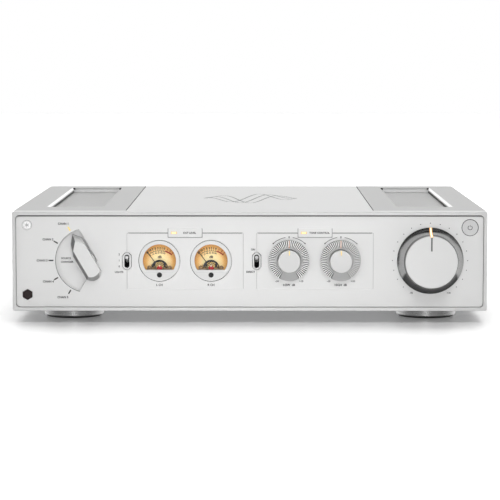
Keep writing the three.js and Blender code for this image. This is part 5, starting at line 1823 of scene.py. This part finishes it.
@dataclass
class PanelTrim:
    """Power button, badge, lamps and everything printed on the front."""

    volume: VolumeControl
    selector: SourceSelector
    tones: Sequence[ToneControl]
    badge_x: float = -201.6
    badge_z: float = 89.9
    badge_radius: float = 4.5
    badge_line: float = 0.35
    badge_field: float = 0.25
    badge_angles: Sequence[float] = (0, 60, 120)
    badge_rim: Sequence[Point] = ((1.0, 0.25), (0.8, 0.55), (0.25, 0.55), (0, 0.3), (0, -0.2))
    button_edge: float = 0.3
    sign_ring: tuple[float, float] = (1.65, 2.15)
    sign_opening: float = 35.0
    sign_bar: tuple[float, float, float] = (0.44, 0.7, 2.4)
    tab_size: tuple[float, float] = (30.6, 7.9)
    tab_rise: float = 25.9
    tab_shadow_reach: float = 0.4
    lamp_edge: float = 0.4
    field_shadow: float = 0.6
    field_corner: float = 1.4
    tab_lamp: tuple[float, float] = (4.5, 1.6)
    tab_lamp_offset: float = -10.1
    tab_text_offset: float = 4.0
    small_text: float = 1.6
    label_text: float = 1.85
    pocket_depth: float = 2.6
    channel_places: Sequence[Point] = (
        (-168.6, 91.1), (-182.6, 76.9), (-188.1, 57.7), (-182.6, 38.5), (-169.6, 24.2))
    pocket_words: Sequence[tuple[str, float, float]] = (
        ("SOURCE", -166.6, 59.4), ("CHANGER", -165.6, 56.2))
    panel_words: Sequence[tuple[str, float, float]] = (
        ("2", -118.2, 63.2), ("1", -118.2, 57.7), ("0", -118.2, 52.3), ("LIGHTS", -118.4, 47.2),
        ("ON", 3.1, 67.7), ("DIRECT", 0.9, 47.4))
    field_words: Sequence[tuple[str, str]] = (
        ("L CH", "left_meter_bezel"), ("R CH", "right_meter_bezel"), ("LOW  dB", "bass_ring"),
        ("HIGH  dB", "treble_ring"))
    field_row: float = 35.4
    limit_row: float = 38.8
    limit_offset: float = 11.0

    def build(self) -> None:
        """Makes the trim and one layer of ink."""
        self._button()
        surface = panel_face()
        self._badge(surface)
        self._lamps(surface)
        self._field_shadows(self._section_floor())
        self._ink(surface)

    @staticmethod
    def _section_floor() -> float:
        """Depth of the sunken fields, which the meter bezels are flush with."""
        return Extent.of("left_meter_bezel").low.y

    def _button(self) -> None:
        """Makes the power button with its sign."""
        button = Extent.of("power_button")
        centre, radius = button.centre, button.size.x / 2
        front, back = button.low.y, button.high.y
        edge = self.button_edge
        cap = Shape.turned([(0, front), (radius - edge, front), (radius, front + edge),
                            (radius, back), (0, back)])
        # Faces in the groove round the button take painted shade.
        cap.paint(1, lambda f: front + edge / 4 < spot(f).y < back - edge)
        cap.move(centre.x, 0, centre.z)
        cap.finish("power_button_cap", [BUTTON_METAL, PAINTED_DEEP_SHADE], "knob_aluminium", "power",
                   ["power_button"])
        width, low, high = self.sign_bar
        sign = Shape.band(*self.sign_ring, self.sign_opening, CIRCLE - self.sign_opening,
                          -INK_DEPTH, INK_DEPTH)
        sign.add(Shape.block((-width / 2, -INK_DEPTH, low), (width / 2, INK_DEPTH, high)))
        sign.move(centre.x, front, centre.z)
        sign.finish("power_sign", [INK_GREY], "needle_black", "power", smooth=False)

    def _badge(self, surface: float) -> None:
        """Makes a plain round badge with a raised rim, painted shade on the rim's sides and dark
        lines across its field.

        Args:
            surface: depth of the panel's face.
        """
        radius = self.badge_radius
        rim = [(radius - inset, surface - rise) for inset, rise in self.badge_rim]
        badge = Shape.turned([(0, surface - self.badge_field), *rim, (0, rim[-1][1])])
        # The rim's sides take painted shade; the three lines are print.
        badge.paint(1, lambda f: f.normal.y > -SQUARE)
        for angle in self.badge_angles:
            line = Shape.block((-self.badge_line / 2, -INK_DEPTH, -radius / 2),
                               (self.badge_line / 2, INK_DEPTH, radius / 2))
            badge.add(line.paint(1).turn(angle, "Y").move(0, surface - self.badge_field, 0))
        badge.move(self.badge_x, 0, self.badge_z)
        badge.finish("front_badge", [BADGE_METAL, PAINTED_SHADE_AND_BADGE_LINES], "bezel_metal")

    def _lamps(self, surface: float) -> None:
        """Makes the lit source bar, the two tab lamps and a grey painted shadow beside and under
        each tab.

        Args:
            surface: depth of the panel's face.
        """
        self.selector.lamp(surface).finish("source_lamp", [WARM_LAMP], "warm_lens", smooth=False)
        wide, tall = self.tab_lamp
        broad, high = self.tab_size
        lamps = Shape()
        gaps = Shape()
        for x, z, depth in self._tabs():
            middle = x + self.tab_lamp_offset
            for half_wide, half_tall, raised, index in (
                    (wide / 2 + self.lamp_edge, tall / 2 + self.lamp_edge / 2, INK_DEPTH, 1),
                    (wide / 2, tall / 2, 2 * INK_DEPTH, 0)):
                lamp = Shape.block((middle - half_wide, depth - raised, z - half_tall),
                                   (middle + half_wide, depth + raised, z + half_tall))
                lamps.add(lamp.paint(index))
            # Grey painted shadow beside and under the tab.
            gaps.add(Shape.block((x - broad / 2 - self.tab_shadow_reach, surface - INK_DEPTH,
                                  z - high / 2 - self.tab_shadow_reach),
                                 (x + broad / 2 + self.tab_shadow_reach, surface + INK_DEPTH,
                                  z + high / 2)))
        lamps.finish("tab_lamps", [TAB_LAMP, TAB_LAMP_EDGE], "warm_lens", smooth=False)
        gaps.finish("tab_shadows", [GAP_SHADE_GREY], "panel_aluminium", smooth=False)

    def _field_shadows(self, floor: float) -> None:
        """Makes the dark line under the upper edge of each sunken field.

        Args:
            floor: depth of the sunken fields.
        """
        lines = Shape()
        for (x, z, _), switch in zip(self._tabs(), ("dimmer_switch", "tone_switch")):
            half = x - Extent.of(switch).centre.x - self.field_corner
            lines.add(Shape.block((x - half, floor - INK_DEPTH, z - self.field_shadow),
                                  (x + half, floor + INK_DEPTH, z)))
        lines.finish("field_shadows", [PAINTED_SHADE_AND_BADGE_LINES], "panel_aluminium", smooth=False)

    def _tabs(self) -> list[tuple[float, float, float]]:
        """Place of each raised tab: its middle across, its height and its face.

        Returns:
            Both tabs.
        """
        panel = Extent.of("front_panel")
        row = panel.centre.z + self.tab_rise
        pairs = (("left_meter_bezel", "right_meter_bezel"), ("bass_ring", "treble_ring"))
        return [((Extent.of(first).centre.x + Extent.of(second).centre.x) / 2, row, panel.low.y)
                for first, second in pairs]

    def _ink(self, surface: float) -> None:
        """Prints every mark on the panel.

        Args:
            surface: depth of the panel's face.
        """
        floor = self._section_floor()
        grey_ink = Shape().add(*self.volume.marks(surface))
        black_ink = Shape().add(*self.selector.marks(surface))
        for tone in self.tones:
            grey_ink.add(*tone.marks(floor))
        for text, x, z, depth, height in self._words(surface, floor):
            grey_ink.add(Shape.lettering(text, height, weight=HEAVY_SHARE).move(x, depth, z))
        grey_ink.finish("front_marks", [INK_GREY], "needle_black", smooth=False)
        black_ink.finish("source_marks", [INK_BLACK], "needle_black", smooth=False)

    def _words(self, surface: float, floor: float) -> list[tuple[str, float, float, float, float]]:
        """Plain numbers and words, with their places.

        Args:
            surface: depth of the panel's face.
            floor: depth of the sunken fields.

        Returns:
            Text, place across, height of place, depth and height of a capital.
        """
        words = [(f"CHAN {index}", *place, surface, self.label_text)
                 for index, place in enumerate(self.channel_places, 1)]
        for depth, group in ((surface + self.pocket_depth, self.pocket_words),
                             (surface, self.panel_words)):
            words += [(*word, depth, self.small_text) for word in group]
        words += [(text, Extent.of(node).centre.x, self.field_row, floor, self.label_text)
                  for text, node in self.field_words]
        for tone in ("bass_ring", "treble_ring"):
            for text, offset in (("-10", -self.limit_offset), ("+10", self.limit_offset)):
                words.append((text, Extent.of(tone).centre.x + offset, self.limit_row, floor,
                              self.small_text))
        for text, (x, z, depth) in zip(("OUT LEVEL", "TONE CONTROL"), self._tabs()):
            words.append((text, x + self.tab_text_offset, z, depth, self.small_text))
        return words


@dataclass
class RearFittings:
    """Sockets, terminals, inlet and screws of the rear panel."""

    post_edge: float = 0.25
    post_plate: float = 2.6
    socket_edge: float = 0.15
    socket_plate: float = 1.6
    moulded_edge: float = 0.3
    flute_edge: float = 0.3
    flute_angle: float = 15.0
    contact_places: Sequence[Point] = ((-3.4, 1.2), (3.4, 1.2), (0, -3.2))
    contact_radius: float = 1.5
    contact_steps: int = 16
    contact_floor: float = 4.0
    contact_sunk: float = 0.2
    contact_depth: float = 0.6
    balanced_rise: float = 14.0
    screw_places: Sequence[float] = (-200, -100, 30, 120, 200)
    screw_inset: float = 6.0
    screw_radius: float = 2.6
    screw_dome: Sequence[Point] = ((0, 0), (1, 0), (1, 0.5), (0.7, 1.2), (0, 1.5))
    slot_share: float = 0.6
    slot_width: float = 0.6
    slot_floor: float = 0.7
    slot_top: float = 3.0
    mark_height: float = 2.6
    mark_gap: float = 5.0
    columns: int = 5
    first_column: float = 11.0
    column_pitch: float = 18.0

    def build(self) -> None:
        """Makes every fitting."""
        self._gilt("speaker_terminals", "speaker_posts", self.post_edge, self.post_plate)
        for name in ("right_minus", "right_plus", "left_minus", "left_plus"):
            finish, slot = ((RED_PLASTIC, "red_cap") if name.endswith("plus")
                            else (BLACK_PLASTIC, "black_cap"))
            cap = Shape.of_node(f"{name}_terminal_cap").bevel(self.flute_edge,
                                                              angle=math.radians(self.flute_angle))
            cap.finish(f"{name}_cap_grip", [finish], slot, f"{name}_cap", [f"{name}_terminal_cap"])
        self._moulded("mains_inlet", "mains_inlet_body")
        self._moulded("mains_rocker", "mains_rocker_cap", "rocker")
        self._gilt("input_sockets", "phono_sockets", self.socket_edge, self.socket_plate)
        self._moulded("balanced_inputs", "balanced_sockets")
        self._contacts()
        self._screws()
        self._marks()

    def _gilt(self, node: str, name: str, edge: float, thickness: float) -> None:
        """Makes gilt contacts on a black plate.

        Args:
            node: the CAD node it stands for.
            name: name of the piece.
            edge: width of its broken edges.
            thickness: thickness of the plate.
        """
        face = Extent.of(node).low.y + thickness
        shape = Shape.of_node(node).bevel(edge)
        shape.paint(1, lambda f: spot(f).y < face)
        shape.finish(name, [GOLD_PLATE, BLACK_PLASTIC], "terminal_metal", replaced=[node])

    def _moulded(self, node: str, name: str, body: str = CHASSIS) -> None:
        """Makes a black moulding that stands for a CAD node."""
        shape = Shape.of_node(node).bevel(self.moulded_edge)
        shape.finish(name, [BLACK_PLASTIC], "black_plastic", body, [node])

    def _contacts(self) -> None:
        """Contacts in the two balanced sockets."""
        extent = Extent.of("balanced_inputs")
        contacts = Shape()
        floor = extent.low.y + self.contact_floor
        for level in (-1, 1):
            for x, z in self.contact_places:
                contact = Shape.rod(self.contact_radius, floor - self.contact_sunk,
                                    floor + self.contact_depth, self.contact_steps)
                contacts.add(contact.move(extent.centre.x + x, 0,
                                          extent.centre.z + level * self.balanced_rise + z))
        contacts.finish("balanced_contacts", [GOLD_PLATE], "terminal_metal")

    def _screws(self) -> None:
        """Cross-head screws round the rear panel."""
        panel = Extent.of("rear_panel")
        shape = Shape()
        for x in self.screw_places:
            for z in (panel.low.z + self.screw_inset, panel.high.z - self.screw_inset):
                shape.add(self._screw_head().move(x, panel.high.y, z))
        shape.finish("rear_screws", [CHROME], "chrome")

    def _screw_head(self) -> Shape:
        """One domed screw head with a cross slot, facing the back."""
        radius = self.screw_radius
        head = Shape.turned([(radius * share, depth) for share, depth in self.screw_dome],
                            SMALL_TURN_STEPS)
        long, half = radius * self.slot_share, self.slot_width / 2
        for wide, tall in ((long, half), (half, long)):
            head.cut(Shape.block((-wide, self.slot_floor, -tall), (wide, self.slot_top, tall)))
        return head

    def _marks(self) -> None:
        """Plain numbers and signs beside the fittings."""
        face = Extent.of("rear_panel").high.y
        sockets = Extent.of("input_sockets")
        row = Extent.of("speaker_terminals").high.z + self.mark_gap
        words = [(str(index + 1), sockets.low.x + self.first_column + index * self.column_pitch,
                  sockets.high.z + self.mark_gap) for index in range(self.columns)]
        words += [(text, Extent.of(f"{name}_terminal_cap").centre.x, row)
                  for text, name in (("R -", "right_minus"), ("R +", "right_plus"),
                                     ("L -", "left_minus"), ("L +", "left_plus"))]
        shape = Shape()
        for text, x, z in words:
            shape.add(Shape.lettering(text, self.mark_height, Facing.BACK).move(x, face, z))
        shape.finish("rear_marks", [INK_GREY], "needle_black", smooth=False)


class PlainPieces:
    """Pieces that keep their CAD shape, most of them seen only when the case is open."""

    def build(self) -> None:
        """Gives each its finish."""
        for finish, nodes in (
                (SHEET_STEEL, ("bottom_plate", "volume_shaft", "volume_encoder", "selector_shaft",
                               "bass_pot", "treble_pot")),
                (BLACK_PLASTIC, ("selector_switch", "power_switch", "left_meter_body",
                                 "right_meter_body")),
                (METER_GLASS, ("left_meter_glass", "right_meter_glass")),
                (BLACK_PAINT, ("left_meter_needle", "right_meter_needle")),
                (DARK_WINDOW, ("remote_window",)),
                (COPPER_TAPE, ("mains_transformer",)),
                (BOARD_GREEN, ("main_board",)),
                (DARK_METAL, ("left_heatsink", "right_heatsink"))):
            for node in nodes:
                dress(node, finish)


@dataclass(frozen=True)
class Softbox:
    """One soft lamp of the studio, in millimetres and watts."""

    name: str
    place: Triple
    target: Triple
    size: tuple[float, float]
    power: float
    mirrored: bool = True
    spread: float = 180.0

    def hang(self) -> None:
        """Hangs the lamp, kept out of reflections when it isn't mirrored."""
        data = bpy.data.lights.new(self.name, "AREA")
        data.shape = "RECTANGLE"
        data.size, data.size_y = self.size[0] * MM, self.size[1] * MM
        data.energy = self.power
        data.spread = math.radians(self.spread)
        light = in_scene(self.name, data)
        light.location = Vector(self.place) * MM
        aim = Vector(self.target) - Vector(self.place)
        light.rotation_euler = aim.to_track_quat("-Z", "Y").to_euler()
        light.visible_glossy = self.mirrored
        light.visible_camera = False


@dataclass
class Studio:
    """Pale floor, soft lights and the camera."""

    camera_place: Triple = (8.326, -2017.47, 247.93)
    camera_pitch: float = 5.61
    camera_yaw: float = 0.2485
    lens: float = 146.912
    sensor: float = 36.0
    clip_start: float = 50.0
    clip_end: float = 100000.0
    floor_half: float = 6000.0
    depth_levels: Sequence[Point] = (
        (0.0, 0.4), (0.25, 0.3), (0.45, 0.42), (0.55, 0.55), (0.8, 1.0), (1.0, 1.05))
    height_levels: Sequence[Point] = (
        (0.0, 0.13), (0.2, 0.16), (0.34, 0.9), (0.45, 1.0), (0.58, 0.95), (0.68, 0.5), (0.76, 0.3),
        (1.0, 0.3))
    lamps: Sequence[Softbox] = (
        Softbox("front", (0, -950, 50), (0, -178, -40), (460, 120), 0.05, spread=36),
        Softbox("key", (200, -1500, 1500), (0, 0, 60), (900, 700), 18, mirrored=False),
        Softbox("left", (-1500, -900, 500), (0, -150, 60), (600, 1200), 2, mirrored=False),
        Softbox("right", (1500, -900, 500), (0, -150, 60), (600, 1200), 2, mirrored=False),
        Softbox("overhead", (0, 700, 2000), (0, 200, 0), (2600, 1600), 58, mirrored=False),
    )

    def build(self) -> None:
        """Makes the floor, the surroundings, the lights and the camera."""
        self._floor()
        self._surroundings()
        for lamp in self.lamps:
            lamp.hang()
        self._camera()

    def _floor(self) -> None:
        """Makes a pale floor with a soft gloss and a faint glow."""
        mesh = bpy.data.meshes.new("floor")
        bm = bmesh.new()
        bmesh.ops.create_grid(bm, x_segments=1, y_segments=1, size=self.floor_half * MM)
        bm.to_mesh(mesh)
        bm.free()
        floor = in_scene("floor", mesh)
        mesh.materials.append(LIT_FLOOR.material())
        floor.visible_glossy = False

    def _surroundings(self) -> None:
        """Bright before and behind the object, dim overhead and below, white for the camera."""
        world = bpy.data.worlds.new("studio")
        bpy.context.scene.world = world
        world.use_nodes = True
        sheet = NodeSheet(world.node_tree)
        sheet.tree.nodes.clear()
        way = sheet.add("ShaderNodeTexCoord").outputs["Generated"]
        parts = sheet.add("ShaderNodeSeparateXYZ", {0: way}).outputs
        shades = [sheet.ramp(sheet.spread(parts[axis], low=-1),
                             [(place, grey(level)) for place, level in levels])
                  for axis, levels in (("Y", self.depth_levels), ("Z", self.height_levels))]
        product = sheet.add("ShaderNodeVectorMath", dict(enumerate(shades)), operation="MULTIPLY")
        lighting = sheet.add("ShaderNodeBackground", {"Color": product.outputs["Vector"]})
        backdrop = sheet.add("ShaderNodeBackground", {"Color": WHITE})
        mix = sheet.add("ShaderNodeMixShader", {
            "Fac": sheet.add("ShaderNodeLightPath").outputs["Is Camera Ray"],
            1: lighting.outputs[0],
            2: backdrop.outputs[0],
        })
        sheet.add("ShaderNodeOutputWorld", {"Surface": mix.outputs[0]})

    def _camera(self) -> None:
        """Sets the camera at the photograph's viewpoint."""
        data = bpy.data.cameras.new("camera")
        data.lens = self.lens
        data.sensor_width = self.sensor
        data.clip_start = self.clip_start * MM
        data.clip_end = self.clip_end * MM
        camera = in_scene("camera", data)
        camera.location = Vector(self.camera_place) * MM
        camera.rotation_euler = (math.radians(QUARTER - self.camera_pitch), 0,
                                 math.radians(self.camera_yaw))
        bpy.context.scene.camera = camera


def build_all(parts: Iterable[object]) -> None:
    """Builds each sub-assembly in order.

    Args:
        parts: objects with a build method.
    """
    for part in parts:
        part.build()
        LOG.info("built %s", type(part).__name__)


def main() -> None:
    """Builds the amplifier and its studio."""
    logging.basicConfig(level=logging.INFO, format="%(message)s")
    bpy.context.scene.view_settings.view_transform = "Standard"
    volume = VolumeControl()
    selector = SourceSelector()
    tones = [ToneControl("bass"), ToneControl("treble")]
    build_all([
        Studio(),
        CaseShell(),
        VentMesh("left_vent_mesh"),
        VentMesh("right_vent_mesh"),
        TopOrnament(),
        *[Foot(f"{end}_{hand}_foot") for end in ("front", "rear") for hand in ("left", "right")],
        volume,
        selector,
        *tones,
        ToggleSwitch("dimmer", "dimmer_toggle"),
        ToggleSwitch("tone", "tone_toggle"),
        NeedleMeter("left"),
        NeedleMeter("right"),
        PanelTrim(volume, selector, tones),
        RearFittings(),
        PlainPieces(),
    ])


if __name__ == "__main__":
    main()
